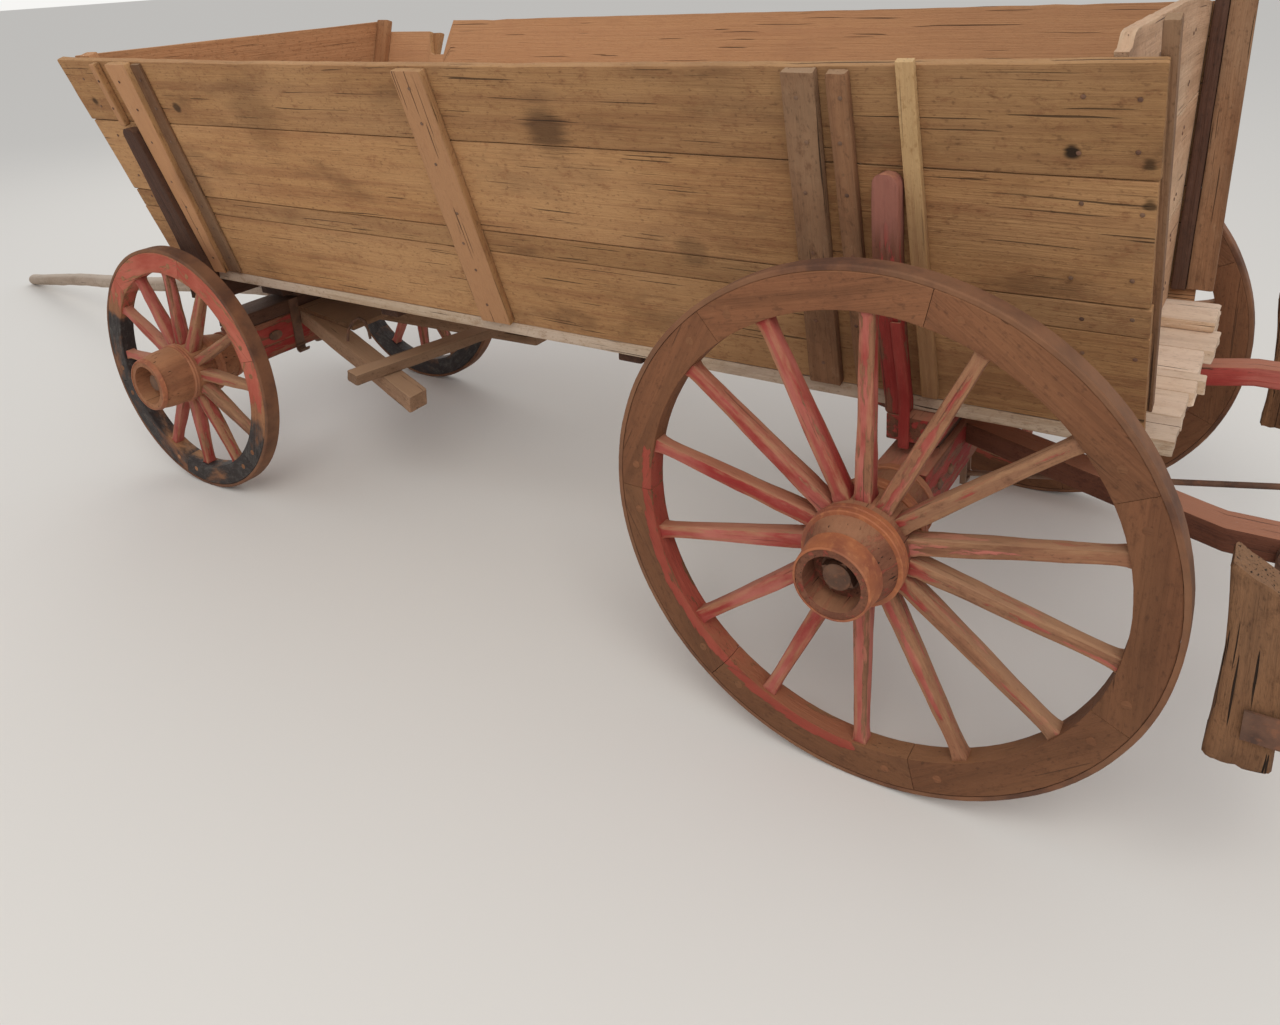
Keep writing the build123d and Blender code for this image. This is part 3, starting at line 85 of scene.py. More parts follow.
def inner_half(z):
    """Half width between the walls' inner faces at a height."""
    return FLOOR_HALF + FLARE * (z - FLOOR_TOP) - WALL_T / math.cos(LEAN)


# What each point of a mesh keeps for its finish, and the wear of a face that is neither fresh nor rubbed
MARKS = ("wear", "tone", "sheltered", "paint", "tar")
EVEN_WEAR = 0.3


def bare_coat(place):
    """Red paint, tar and lighter shade at a place, beyond what the finish has everywhere: none. The rims' and the left
    rear hound's coats use the shade for painted light and shade.
    """
    return 0.0, 0.0, 0.0


class Work:
    """Mesh in the making. Each point keeps its place in the grain and its marks."""

    def __init__(self, coat=bare_coat):
        self.points, self.faces, self.grain = [], [], []
        self.marks = {key: [] for key in MARKS}
        self.coat = coat

    def loop(self, points, grains, wears, tone, sheltered=None):
        """Adds a ring of points and returns their numbers."""
        start = len(self.points)
        self.points += points
        self.grain += grains
        self.marks["wear"] += wears
        self.marks["sheltered"] += sheltered or [0.0] * len(points)
        for place in points:
            paint, tar, shade = self.coat(place)
            self.marks["paint"].append(paint)
            self.marks["tar"].append(tar)
            # The coat's shade, painted light and shade on the rims and the left rear hound, is added to the tone
            self.marks["tone"].append(tone + shade)
        return list(range(start, start + len(points)))

    def skin(self, rings, closed=False):
        """Joins rings of equal count with quads."""
        pairs = list(zip(rings, rings[1:]))
        if closed:
            pairs.append((rings[-1], rings[0]))
        for near, far in pairs:
            for i in range(len(near)):
                j = (i + 1) % len(near)
                self.faces.append((near[i], near[j], far[j], far[i]))

    def cap(self, ring, tone):
        """Closes a ring with a fan round its middle."""
        middle = sum((self.points[i] for i in ring), Vector()) / len(ring)
        grain = sum((self.grain[i] for i in ring), Vector()) / len(ring)
        centre = self.loop([middle], [grain], [EVEN_WEAR], tone)[0]
        for i in range(len(ring)):
            self.faces.append((ring[i], ring[(i + 1) % len(ring)], centre))

    def solid(self, rings, tone):
        """Joins rings and closes both ends."""
        self.skin(rings)
        self.cap(rings[0], tone)
        self.cap(rings[-1], tone)

    def build(self, name, finish, body, nodes=(), slot=None, crease=40.0):
        """Makes the object in one finish, riding on a body in place of CAD nodes."""
        if finish not in finishes:
            raise RuntimeError("The finishes are made first")
        mesh = bpy.data.meshes.new(name)
        mesh.from_pydata([tuple(p) for p in self.points], [], self.faces)
        figure = mesh.attributes.new("grain", "FLOAT_VECTOR", "POINT")
        figure.data.foreach_set("vector", [c for g in self.grain for c in g])
        for label, values in self.marks.items():
            mesh.attributes.new(label, "FLOAT", "POINT").data.foreach_set("value", values)
        shape = bmesh.new()
        shape.from_mesh(mesh)
        bmesh.ops.recalc_face_normals(shape, faces=shape.faces)
        shape.to_mesh(mesh)
        shape.free()
        mesh.shade_smooth()
        mesh.set_sharp_from_angle(angle=math.radians(crease))
        mesh.materials.append(finishes[finish])
        piece = bpy.data.objects.new(name, mesh)
        bpy.context.scene.collection.objects.link(piece)
        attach(piece, body)
        if nodes:
            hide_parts(*nodes)
        return piece


def spoke_arris(t):
    """How far a spoke's arrises are shaved: little at the nave and rim, most between."""
    if t < 0.06 or t > 0.97:
        return 0.003
    return 0.011 - 0.002 * t


# How each timber was cut and has worn: its first seed, then its arris, waves and ragged ends in millimetres
Cut = namedtuple("Cut", "seed arris wave ragged")
CUTS = {
    "wall_board": Cut(0, 2.8, 1.6, 3),
    "top_board": Cut(5, 4, 1.6, 4),
    "batten": Cut(45, 4, 1.5, 6),
    "new_strip": Cut(61, 1.5, 0.6, 2),
    "floor_plank": Cut(70, 3.5, 1.8, 10),
    "floor_cleat": Cut(80, 4, 1.5, 4),
    "loose_plank": Cut(85, 5, 2, 12),
    "headboard": Cut(90, 3, 1.4, 0),
    "head_upright": Cut(95, 4, 1.4, 4),
    "head_corner": Cut(97, 4, 1.2, 3),
    "tailgate": Cut(100, 3.5, 1.4, 2),
    "ledge": Cut(105, 4, 1.4, 4),
    "stop": Cut(110, 4, 1.2, 5),
    "end_plank": Cut(120, 3, 1.2, 4),
    "rear_stake": Cut(130, 6, 1.6, 0),
    "front_stake": Cut(133, 8, 2, 0),
    "stake_strip": Cut(136, 2, 0.8, 3),
    "rear_gear": Cut(140, 5, 2, 3),
    "rear_hound": Cut(145, 6, 2, 3),
    "front_gear": Cut(150, 5, 2, 3),
    "front_hound": Cut(155, 6, 2, 4),
    "hound_board": Cut(157, 3, 1.2, 3),
    "sway_bar": Cut(158, 5, 2, 5),
    "brake_beam": Cut(160, 6, 2, 4),
    "brake_block": Cut(165, 12, 6, 10),
    "spoke": Cut(10, spoke_arris, 1.4, 0),
}
# Waves to a metre of a face's swell and ripple, of the wear along an arris and of torn end grain
SWELL, RIPPLE, RUBBING, TORN = 3.1, 13, 9, 60
# Strength of the ripple beside the swell, and the level above which a face stays flat
RIPPLE_SHARE, FACE_LEVEL = 0.45, 0.35
# An arris's least width and its spread as shares of the cut's, and the most of a face that it takes, alone and with
# its rubbed edge
ARRIS_LEAST, ARRIS_SPREAD, ARRIS_MOST, EDGE_MOST = 0.65, 0.8, 0.32, 0.42
# How far the arris's middle point lies in from the sharp corner, as a share of its width
ARRIS_ROUND = 0.29
# Extent of the grain that pieces are sawn from, in metres
GRAIN_REACH = 40
# Width of the face beside an arris that is rubbed a little
RUBBED_EDGE = 0.006
# The arrises round an end are cut back less than the long ones
END_SHARE = 0.9


def character(seed, tone):
    """Where in the grain a piece was sawn, and its shade where none is given."""
    rng = random.Random(seed)
    offset = Vector([rng.uniform(0, GRAIN_REACH) for _ in range(3)])
    return offset, (rng.uniform(-1, 1) if tone is None else tone)


def timber(work, section, kind, number=0, steps=12, spacing=0.04, stations=None, tone=None):
    """Sawn timber through four-cornered sections, with worn arrises, a wandering surface and rough ends."""
    cut = CUTS[kind]
    offset, tone = character(cut.seed + number, tone)
    worn = cut.arris if callable(cut.arris) else lambda t: cut.arris / 1000
    places = stations or [i / steps for i in range(steps + 1)]
    first, last = section(places[0]), section(places[-1])
    sampled = first, section(places[len(places) // 2])
    inner = [
        max(0, int(max((s[(k + 1) % 4] - s[k]).length for s in sampled) / spacing) - 1) for k in range(4)
    ]
    run = 0.0
    before = sum(first, Vector()) / 4
    reach = sum(last, Vector()) / 4 - before
    axis, length = reach.normalized(), reach.length

    def ring(t, shrink, shift):
        nonlocal run, before
        corners = section(t)
        centre = sum(corners, Vector()) / 4
        run += (centre - before).length
        before = centre
        across = (corners[1] - corners[0]).normalized()
        deep = (corners[3] - corners[0]).normalized()
        points, grains, wears, sheltered = [], [], [], []
        for k in range(4):
            a, b, c = corners[k], corners[(k + 1) % 4], corners[(k + 3) % 4]
            side = (b - a).length
            along = (b - a) / side
            back = (c - a).normalized()
            out = ((a + b) / 2 - centre).normalized()
            arris = worn(t) * (ARRIS_LEAST + ARRIS_SPREAD * abs(noise.noise(a * RUBBING + offset)))
            arris = min(arris, ARRIS_MOST * side, ARRIS_MOST * (c - a).length)
            inset = min(arris + RUBBED_EDGE, EDGE_MOST * side)
            row = [
                (a + (along + back) * arris * ARRIS_ROUND, 1.0, (a - centre).normalized()),
                (a + along * arris, 0.85, out),
                (a + along * inset, 0.1, out),
            ]
            for i in range(inner[k]):
                share = (i + 1) / (inner[k] + 1)
                row.append((a + along * (inset + (side - 2 * inset) * share), 0.0, out))
            row += [(b - along * inset, 0.1, out), (b - along * arris, 0.85, out)]
            for place, rubbed, away in row:
                swell = noise.noise(place * SWELL + offset) + RIPPLE_SHARE * noise.noise(place * RIPPLE + offset)
                rise = min(0.0, cut.wave / 1000 * (swell - FACE_LEVEL))
                moved = centre + (place + away * rise - centre) * shrink
                rough = cut.ragged / 1000 * (0.5 + 0.5 * noise.noise(place * TORN + offset))
                points.append(moved + axis * (shift * (rough + 2 * CLEAR)))
                spot = place - centre
                grains.append(Vector((run, spot.dot(across), spot.dot(deep))) + offset)
                wears.append(rubbed)
                sheltered.append(1.0 if k == 2 else 0.0)
        return work.loop(points, grains, wears, tone, sheltered)

    def end_shrink(t, corners):
        return 1 - END_SHARE * worn(t) / max(0.01, (corners[1] - corners[0]).length)

    start, end = places[0], places[-1]
    rings = [ring(start, end_shrink(start, first), 1), ring(start + END_SHARE * worn(start) / length, 1, 1)]
    rings += [ring(t, 1, 0) for t in places[1:-1]]
    rings += [ring(end - END_SHARE * worn(end) / length, 1, -1), ring(end, end_shrink(end, last), -1)]
    work.solid(rings, tone)


def box_timber(work, low, high, axis, kind, number=0, tone=None):
    """Box-shaped timber with its grain along one axis and a ring of points every 50 mm or so."""
    first, second = [i for i in range(3) if i != axis]
    ends = []
    for end in (low[axis], high[axis]):
        corners = []
        for u, v in ((low, low), (high, low), (high, high), (low, high)):
            corner = Vector()
            corner[axis], corner[first], corner[second] = end, u[first], v[second]
            corners.append(corner)
        ends.append(corners)
    steps = max(4, int((high[axis] - low[axis]) / 0.05))
    timber(work, lambda t: [p.lerp(q, t) for p, q in zip(*ends)], kind, number, steps=steps, tone=tone)


def node_timber(work, node, axis, kind, number=0):
    """Timber that fills a CAD node's box."""
    box_timber(work, *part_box(node), axis, kind, number)


def wheel_point(kind, side, out, radius, angle):
    """Point of a wheel: out runs outwards from the rim's face, and angle turns from forward to up."""
    x, z = radius * math.cos(angle), radius * math.sin(angle)
    return Vector((kind.axle_x + x, side * (kind.face_y + out), kind.radius + z))


# The same waves and level for turned and rolled pieces
TURNED_SWELL, TURNED_RIPPLE, TURNED_LEVEL = 16, 50, 0.4


def turning(work, kind, side, profile, seed, steps=72, wander=0.0006, span=None, wear=None, tone=None):
    """Closed profile of (out, radius) corners turned about an axle, all the way round or over a span."""
    offset, tone = character(seed, tone)
    start, end = span or (0.0, 2 * math.pi)
    rings = []
    for i in range(steps + (1 if span else 0)):
        angle = start + (end - start) * i / steps
        points, grains = [], []
        for out, radius in profile:
            place = wheel_point(kind, side, out, radius, angle)
            swell, ripple = [noise.noise(place * waves + offset) for waves in (TURNED_SWELL, TURNED_RIPPLE)]
            rough = wander * (swell + 0.5 * ripple - TURNED_LEVEL)
            points.append(wheel_point(kind, side, out, radius + min(0.0, rough), angle))
            lie = angle - (start + end) / 2 if span else angle
            across, level = radius * math.sin(lie), radius * math.cos(lie)
            # The grain of a felloe runs along its chord, and a nave's along the axle
            grains.append(Vector((across, level, out) if span else (out, across, level)) + offset)
        rings.append(work.loop(points, grains, wear or [EVEN_WEAR] * len(profile), tone))
    if span:
        work.solid(rings, tone)
    else:
        work.skin(rings, closed=True)


# Rings of a domed head from below its face to its crown: share of the radius and of the height
HEAD_RINGS = ((1.0, -0.3), (1.0, 0.35), (0.72, 0.8), (0.35, 1.0))
HAND_FORGED = 0.05


def stud(work, centre, normal, radius, height, seed, sides=10):
    """Domed nail or bolt head standing on a face."""
    rng = random.Random(seed)
    normal = normal.normalized()
    first = normal.orthogonal().normalized()
    second = normal.cross(first)
    tone = rng.uniform(-1, 1)
    rings = []
    for share, lift in HEAD_RINGS:
        points = []
        for i in range(sides):
            turn = 2 * math.pi * i / sides + rng.uniform(-HAND_FORGED, HAND_FORGED)
            spread = radius * share * (1 + rng.uniform(-HAND_FORGED, HAND_FORGED))
            way = first * math.cos(turn) + second * math.sin(turn)
            points.append(centre + normal * height * lift + way * spread)
        rings.append(work.loop(points, [p.copy() for p in points], [share] * sides, tone))
    work.solid(rings, tone)


def rod(work, path, radius, seed, sides=10):
    """Forged round bar that follows points."""
    tone = random.Random(seed).uniform(-1, 1)
    rings = []
    first = None
    for i, place in enumerate(path):
        ahead = (path[min(i + 1, len(path) - 1)] - path[max(i - 1, 0)]).normalized()
        first = first or ahead.orthogonal()
        first = (first - ahead * first.dot(ahead)).normalized()
        second = ahead.cross(first)
        turns = [2 * math.pi * k / sides for k in range(sides)]
        points = [place + (first * math.cos(turn) + second * math.sin(turn)) * radius for turn in turns]
        rings.append(work.loop(points, [p.copy() for p in points], [EVEN_WEAR] * sides, tone))
    work.solid(rings, tone)


# Finishes


def linear(code):
    """Linear colour of an sRGB hex value."""
    parts = [int(code[i : i + 2], 16) / 255 for i in (1, 3, 5)]
    return [c / 12.92 if c <= 0.04045 else ((c + 0.055) / 1.055) ** 2.4 for c in parts] + [1.0]


def hex_of(colour):
    """sRGB hex value of a linear colour."""
    parts = [12.92 * c if c <= 0.0031308 else 1.055 * c ** (1 / 2.4) - 0.055 for c in colour[:3]]
    return "#" + "".join(f"{round(255 * min(1.0, max(0.0, c))):02x}" for c in parts)


def blank_tree(owner):
    """Emptied node tree of a material or world."""
    owner.use_nodes = True
    owner.node_tree.nodes.clear()
    return owner.node_tree


def add(tree, kind, inputs=(), out=0, **settings):
    """Adds a node and returns one output; inputs gives each socket a value or another node's output."""
    made = tree.nodes.new(kind)
    for name, value in settings.items():
        setattr(made, name, value)
    for key, value in dict(inputs).items():
        if isinstance(value, bpy.types.NodeSocket):
            tree.links.new(value, made.inputs[key])
        else:
            made.inputs[key].default_value = value
    return made.outputs[out] if made.outputs else made


def layer(tree, under, over, value, low=0.0, high=1.0, most=1.0, edge="SMOOTHSTEP"):
    """Lays a colour over another where a value goes from low to high; returns both mixed and the share laid on."""
    under, over = [linear(colour) if isinstance(colour, str) else colour for colour in (under, over)]
    inputs = {"Value": value, "From Min": low, "From Max": high, "To Max": most}
    share = add(tree, "ShaderNodeMapRange", inputs, interpolation_type=edge)
    return add(tree, "ShaderNodeMix", {0: share, 6: under, 7: over}, 2, data_type="RGBA"), share


# Patterns in the grain: length along it and width across it in millimetres. Fibres are drawn 3 mm wide, coarser than
# real ones, so that they show from some metres away.
GrainPattern = namedtuple("GrainPattern", "key length width detail roughness")
GRAIN_PATTERNS = (
    GrainPattern("band", 1500, 34, 3.0, 0.5),
    GrainPattern("streak", 520, 9, 4.0, 0.6),
    GrainPattern("fibre", 130, 3, 3.0, 0.6),
    GrainPattern("blotch", 300, 130, 5.0, 0.62),
    GrainPattern("cloud", 800, 330, 3.0, 0.5),
    GrainPattern("mottle", 42, 26, 6.0, 0.8),
    GrainPattern("speck", 16, 9, 2.0, 0.6),
    GrainPattern("check", 330, 6, 1.0, 0.4),
    GrainPattern("flake", 120, 20, 6.0, 0.66),
)

# Colours are sRGB hex values. Shares run from 0 to 1, and cover is the part that paint still hides.
WoodLook = namedtuple(
    "WoodLook",
    "light dark stain dust worn roughness stain_share dust_share top_dust crack sheltered paint faded cover tarred "
    "relief worn_share",
    defaults=(None, None, None, 0.0, False, 1.0, 0.35),
)
TAR = "#2f2725"
TAR_DUST = "#5c5853"
CRACK = "#2c1d12"
# Real height of the grain's relief at full strength
WOOD_RELIEF = 0.004


def wood_finish(name, look, spots):
    """Timber: bands and streaks along the grain, stains, dust, drying checks and, where given, paint and tar."""
    material = bpy.data.materials.new(name)
    tree = blank_tree(material)
    grain = add(tree, "ShaderNodeAttribute", out="Vector", attribute_name="grain")
    mark = {key: add(tree, "ShaderNodeAttribute", out="Fac", attribute_name=key) for key in MARKS}
    # The fibres wander by a few millimetres, so no streak is ruled
    sway = add(tree, "ShaderNodeTexNoise", {"Vector": grain, "Scale": 1.7, "Detail": 2.0}, "Color")
    sway = add(tree, "ShaderNodeVectorMath", {0: sway, 1: (0.0, 0.02, 0.02), 2: grain}, operation="MULTIPLY_ADD")
    pattern = {}
    for number, row in enumerate(GRAIN_PATTERNS):
        scale = (1000 / row.length, 1000 / row.width, 1000 / row.width)
        shift = (3.7 * number, 5.3 * number, 1.9 * number)
        place = add(tree, "ShaderNodeVectorMath", {0: sway, 1: scale, 2: shift}, operation="MULTIPLY_ADD")
        inputs = {"Vector": place, "Scale": 1.0, "Detail": row.detail, "Roughness": row.roughness}
        pattern[row.key] = add(tree, "ShaderNodeTexNoise", inputs, "Fac")

    # Layers over the sawn colour: colour, pattern, where it starts and is full, and its strength
    colour = look.light
    for over, key, low, high, strength in (
        (look.dark, "band", 0.42, 0.66, 0.55),
        (look.dark, "streak", 0.48, 0.74, 0.40),
        (look.stain, "fibre", 0.50, 0.76, 0.35),
        (look.stain, "blotch", 0.50, 0.74, look.stain_share),
        (look.dust, "cloud", 0.40, 0.64, look.dust_share),
        (look.dust, "mottle", 0.46, 0.24, look.dust_share),
        (look.dark, "mottle", 0.51, 0.68, 0.65),
        (look.stain, "speck", 0.57, 0.74, 0.45),
    ):
        colour, _ = layer(tree, colour, over, pattern[key], low, high, strength)
    if look.sheltered:
        # The face turned into the box kept its warm colour
        colour, _ = layer(tree, colour, look.sheltered, mark["sheltered"], most=0.7, edge="LINEAR")
    # The tone holds each piece's own shade and the painted light and shade from the rims' and the left rear hound's
    # coats
    inputs = {"Value": mark["tone"], "From Min": -1.0, "From Max": 1.0, "To Min": 0.72, "To Max": 1.12}
    shade = add(tree, "ShaderNodeMapRange", inputs)
    colour = add(tree, "ShaderNodeHueSaturation", {"Color": colour, "Value": shade})

    relief = pattern["streak"]
    for key, depth in (("fibre", 0.5), ("mottle", 0.8)):
        relief = add(tree, "ShaderNodeMath", {0: pattern[key], 1: depth, 2: relief}, operation="MULTIPLY_ADD")
    if look.paint:
        # Paint stays in flakes that end at threads of bare grain and goes first from the arrises
        kept = pattern["flake"]
        for key, pull in (("wear", -0.09), ("paint", 0.5)):
            kept = add(tree, "ShaderNodeMath", {0: mark[key], 1: pull, 2: kept}, operation="MULTIPLY_ADD")
        red, _ = layer(tree, look.paint, look.faded, pattern["blotch"], 0.36, 0.66)
        colour, kept = layer(tree, colour, red, kept, 0.97 - look.cover, 1.03 - look.cover)
        relief = add(tree, "ShaderNodeMath", {0: kept, 1: 0.35, 2: relief}, operation="MULTIPLY_ADD")
    for place, radius, over, strength in spots:
        # A stain or knot at its own place on the piece, its edge broken by the grain
        near = add(tree, "ShaderNodeTexCoord", out="Object")
        near = add(tree, "ShaderNodeVectorMath", {0: near, 1: place}, "Value", operation="DISTANCE")
        inputs = {0: pattern["streak"], 1: radius * 1.4, 2: near}
        near = add(tree, "ShaderNodeMath", inputs, operation="MULTIPLY_ADD")
        colour, _ = layer(tree, colour, over, near, radius * 1.8, radius * 1.1, strength)
    # Rubbed arrises
    rubbed = add(tree, "ShaderNodeMapRange", {"Value": pattern["flake"], "From Min": 0.42, "From Max": 0.6})
    rubbed = add(tree, "ShaderNodeMath", {0: mark["wear"], 1: rubbed}, operation="MULTIPLY")
    colour, _ = layer(tree, colour, look.worn, rubbed, most=look.worn_share, edge="LINEAR")
    # Dust on what faces up
    facing = add(tree, "ShaderNodeNewGeometry", out="Normal")
    facing = add(tree, "ShaderNodeSeparateXYZ", {0: facing}, "Z")
    facing = add(tree, "ShaderNodeMath", {0: pattern["mottle"], 1: 0.7, 2: facing}, operation="MULTIPLY_ADD")
    colour, _ = layer(tree, colour, look.dust, facing, 0.85, 1.25, look.top_dust)
    # Drying checks: straight dark slits along the grain, wider in wood with a deep relief
    slit = 0.72 - 0.06 * (look.relief - 1)
    colour, crack = layer(tree, colour, CRACK, pattern["check"], slit, slit + 0.04, look.crack)
    relief = add(tree, "ShaderNodeMath", {0: crack, 1: -1.4, 2: relief}, operation="MULTIPLY_ADD")

    inputs = {"Value": pattern["streak"], "To Min": look.roughness - 0.1, "To Max": look.roughness + 0.08}
    rough = add(tree, "ShaderNodeMapRange", inputs)
    if look.tarred:
        # Tar in a thick coat, its edge smeared, dusty where it was touched
        coat = {0: pattern["blotch"], 1: 0.8, 2: mark["tar"]}
        coat = add(tree, "ShaderNodeMath", coat, operation="MULTIPLY_ADD")
        tar, _ = layer(tree, TAR, TAR_DUST, pattern["mottle"], 0.45, 0.72, 0.75)
        colour, coat = layer(tree, colour, tar, coat, 0.88, 1.02)
        rough = add(tree, "ShaderNodeMath", {0: coat, 1: -0.2, 2: rough}, operation="MULTIPLY_ADD")
    inputs = {"Height": relief, "Strength": 0.75 * look.relief, "Distance": WOOD_RELIEF}
    normal = add(tree, "ShaderNodeBump", inputs)
    inputs = {"Base Color": colour, "Roughness": rough, "Normal": normal, "IOR": 1.5, "Specular IOR Level": 0.25}
    shader = add(tree, "ShaderNodeBsdfPrincipled", inputs)
    add(tree, "ShaderNodeOutputMaterial", {"Surface": shader})
    return material


IronLook = namedtuple("IronLook", "light dark scale dust dust_share roughness")
# Patterns in the rust: key, size in millimetres and detail
IRON_PATTERNS = (("broad", 90, 6.0), ("scale", 14, 4.0), ("pits", 5, 2.0), ("cloud", 260, 4.0))
IRON_RELIEF = 0.002


def iron_finish(name, look):
    """Forged iron under rust: mottled scale, pits and a bloom of dust."""
    material = bpy.data.materials.new(name)
    tree = blank_tree(material)
    place = add(tree, "ShaderNodeTexCoord", out="Object")
    pattern = {}
    for number, (key, size, detail) in enumerate(IRON_PATTERNS):
        inputs = {0: place, 1: (1000 / size,) * 3, 2: (3.1 * number,) * 3}
        spread = add(tree, "ShaderNodeVectorMath", inputs, operation="MULTIPLY_ADD")
        inputs = {"Vector": spread, "Scale": 1.0, "Detail": detail, "Roughness": 0.6}
        pattern[key] = add(tree, "ShaderNodeTexNoise", inputs, "Fac")
    colour = look.light
    for over, key, low, high, strength in (
        (look.dark, "broad", 0.35, 0.65, 1.0),
        (look.scale, "scale", 0.50, 0.72, 0.6),
        (look.dust, "cloud", 0.40, 0.62, look.dust_share),
    ):
        colour, _ = layer(tree, colour, over, pattern[key], low, high, strength)
    inputs = {0: pattern["pits"], 1: 0.5, 2: pattern["scale"]}
    relief = add(tree, "ShaderNodeMath", inputs, operation="MULTIPLY_ADD")
    normal = add(tree, "ShaderNodeBump", {"Height": relief, "Strength": 0.5, "Distance": IRON_RELIEF})
    inputs = {"Value": pattern["scale"], "To Min": look.roughness - 0.12, "To Max": look.roughness + 0.1}
    rough = add(tree, "ShaderNodeMapRange", inputs)
    inputs = {"Base Color": colour, "Roughness": rough, "Normal": normal, "Metallic": 0.1}
    shader = add(tree, "ShaderNodeBsdfPrincipled", inputs)
    add(tree, "ShaderNodeOutputMaterial", {"Surface": shader})
    return material


# Finishes by key: the material's name and its look
WOODS = {
    # Pine boards, sawn and sun baked: dusty mid brown, darker where rain has run, warm inside the box
    "boards": ("sun_baked_sawn_pine", WoodLook(
        "#b18457", "#906140", "#5f3d27", "#c19568", "#9c7350", 0.85, 0.6, 0.5, 0.3, 0.75, "#bf8c65", relief=1.2,
    )),
    # Boards of the tailgate, greyer where hands and loads have rubbed them
    "gate": ("rubbed_sawn_pine", WoodLook(
        "#bd9474", "#9a7455", "#72533b", "#cfb092", "#dcc7a6", 0.85, 0.5, 0.5, 0.3, 0.75,
    )),
    # Boards inside the box, cleaner and warmer
    "inner": ("sheltered_sawn_pine", WoodLook(
        "#c38c61", "#a06d48", "#6f4a30", "#c09168", "#8a6542", 0.85, 0.4, 0.5, 0.2, 0.6,
    )),
    # Floor planks at their rough ends, bleached to a pinkish straw
    "floor": ("bleached_floor_pine", WoodLook(
        "#d9bfa3", "#b08d6c", "#84644b", "#e3cbb6", "#a98a6c", 0.9, 0.45, 0.6, 0.4, 1.0,
    )),
    # Hardwood running gear, once painted red, now brown with red left in the sheltered parts
    "gear": ("red_painted_hardwood_worn", WoodLook(
        "#7c4a35", "#5a3325", "#3c241c", "#b27a5f", "#6a4330", 0.72, 0.5, 0.2, 0.75, 0.6,
        None, "#8e2b26", "#a5473d", 0.52, True,
    )),
    # Oily dark hardwood under the box and at the tail
    "dark": ("oily_dark_hardwood", WoodLook(
        "#523527", "#372319", "#241711", "#7a5c48", "#4d3526", 0.75, 0.5, 0.25, 0.5, 0.7,
    )),
    # Darker battens, the left stops, the hounds' board and the end plank, bare and dusty brown
    "bare": ("dusty_bare_hardwood", WoodLook(
        "#8f6749", "#6d4a33", "#4a3222", "#a98a6c", "#73563d", 0.85, 0.5, 0.4, 0.6, 0.8,
    )),
    # Front hounds and sway bar, grey brown from road dust
    "grey": ("road_dusted_hardwood", WoodLook(
        "#96745a", "#73563f", "#4f3828", "#b08d6f", "#7d6450", 0.88, 0.5, 0.5, 0.85, 0.8,
    )),
    # Rear felloes: sawn hardwood, smooth and dusty brown
    "rear_felloe": ("sawn_felloe_hardwood_dusty", WoodLook(
        "#835539", "#68432c", "#4a2f20", "#976a48", "#7c5239", 0.8, 0.45, 0.35, 0.6, 0.45,
        None, "#8f3d30", "#a04c3c", 0.14,
    )),
    # Front felloes: salmon paint over the top, tar over the rest
    "front_felloe": ("sawn_felloe_hardwood_tarred", WoodLook(
        "#9a6748", "#774a33", "#553425", "#b98b62", "#9c7350", 0.8, 0.45, 0.4, 0.6, 0.45,
        None, "#a94e3d", "#c06c57", 0.28, True,
    )),
    # Spokes: split hardwood, milk paint worn through to brown along their lengths
    "spoke": ("split_spoke_hardwood_red", WoodLook(
        "#9c6a4d", "#7b503a", "#563829", "#b48a69", "#a97f5c", 0.75, 0.4, 0.3, 0.5, 0.4,
        None, "#a3473c", "#b5695c", 0.55, False, 1.0, 0.7,
    )),
    # Rear naves: turned hardwood, dark red and checked along the grain
    "rear_nave": ("turned_nave_hardwood_red", WoodLook(
        "#8f5a42", "#6b4030", "#472b20", "#ac7b5a", "#7c5742", 0.78, 0.5, 0.3, 0.6, 1.0,
        None, "#84382c", "#96503f", 0.45,
    )),
    # Front naves: the paint gone, tan and full of fine checks
    "front_nave": ("turned_nave_hardwood_bare", WoodLook(
        "#a26b4b", "#7e4f38", "#573726", "#b5825c", "#8c5e43", 0.8, 0.5, 0.45, 0.6, 1.0,
        None, "#8e3d30", "#a2553f", 0.2,
    )),
    # Sawn pine strip, fresh yellow at the top
    "pine": ("fresh_sawn_pine", WoodLook(
        "#cda677", "#a87f54", "#96703f", "#dfbd89", "#b58d58", 0.7, 0.3, 0.4, 0.3, 0.3,
    )),
    # Felled pole, bark gone, silver brown
    "pole": ("peeled_pole_wood", WoodLook(
        "#b7a08d", "#93806c", "#6b5a4a", "#c9b9a8", "#a08c78", 0.88, 0.45, 0.5, 0.6, 1.0,
    )),
    # Split hardwood block, weathered gold and brown
    "block": ("split_brake_hardwood", WoodLook(
        "#986b49", "#65432d", "#33221a", "#a98161", "#7d5b3d", 0.9, 0.75, 0.3, 0.5, 1.0, relief=2.2,
    )),
}
IRONS = {
    # Forged iron with brown rust
    "iron": ("forged_iron_brown_rust", IronLook("#6d4a37", "#452d22", "#86553a", "#8a6d55", 0.5, 0.72)),
    # Tyre iron: rust rubbed thin, with pale road dust
    "tyre": ("rolled_tyre_iron_rubbed_rust", IronLook("#7c5238", "#593a2a", "#744a34", "#8c6345", 0.5, 0.9)),
    # Hoop iron with fresh orange rust
    "hoop": ("hoop_iron_orange_rust", IronLook("#a9653f", "#874a33", "#bb7a4e", "#b08060", 0.45, 0.75)),
}


def wall_spots(*rows):
    """Stains and knots on the left wall, each by millimetres forward and up, radius, colour and strength."""
    return [
        ((fore(x), wall_point(1, 0, z / 1000).y, z / 1000), radius / 1000, colour, strength)
        for x, z, radius, colour, strength in rows
    ]


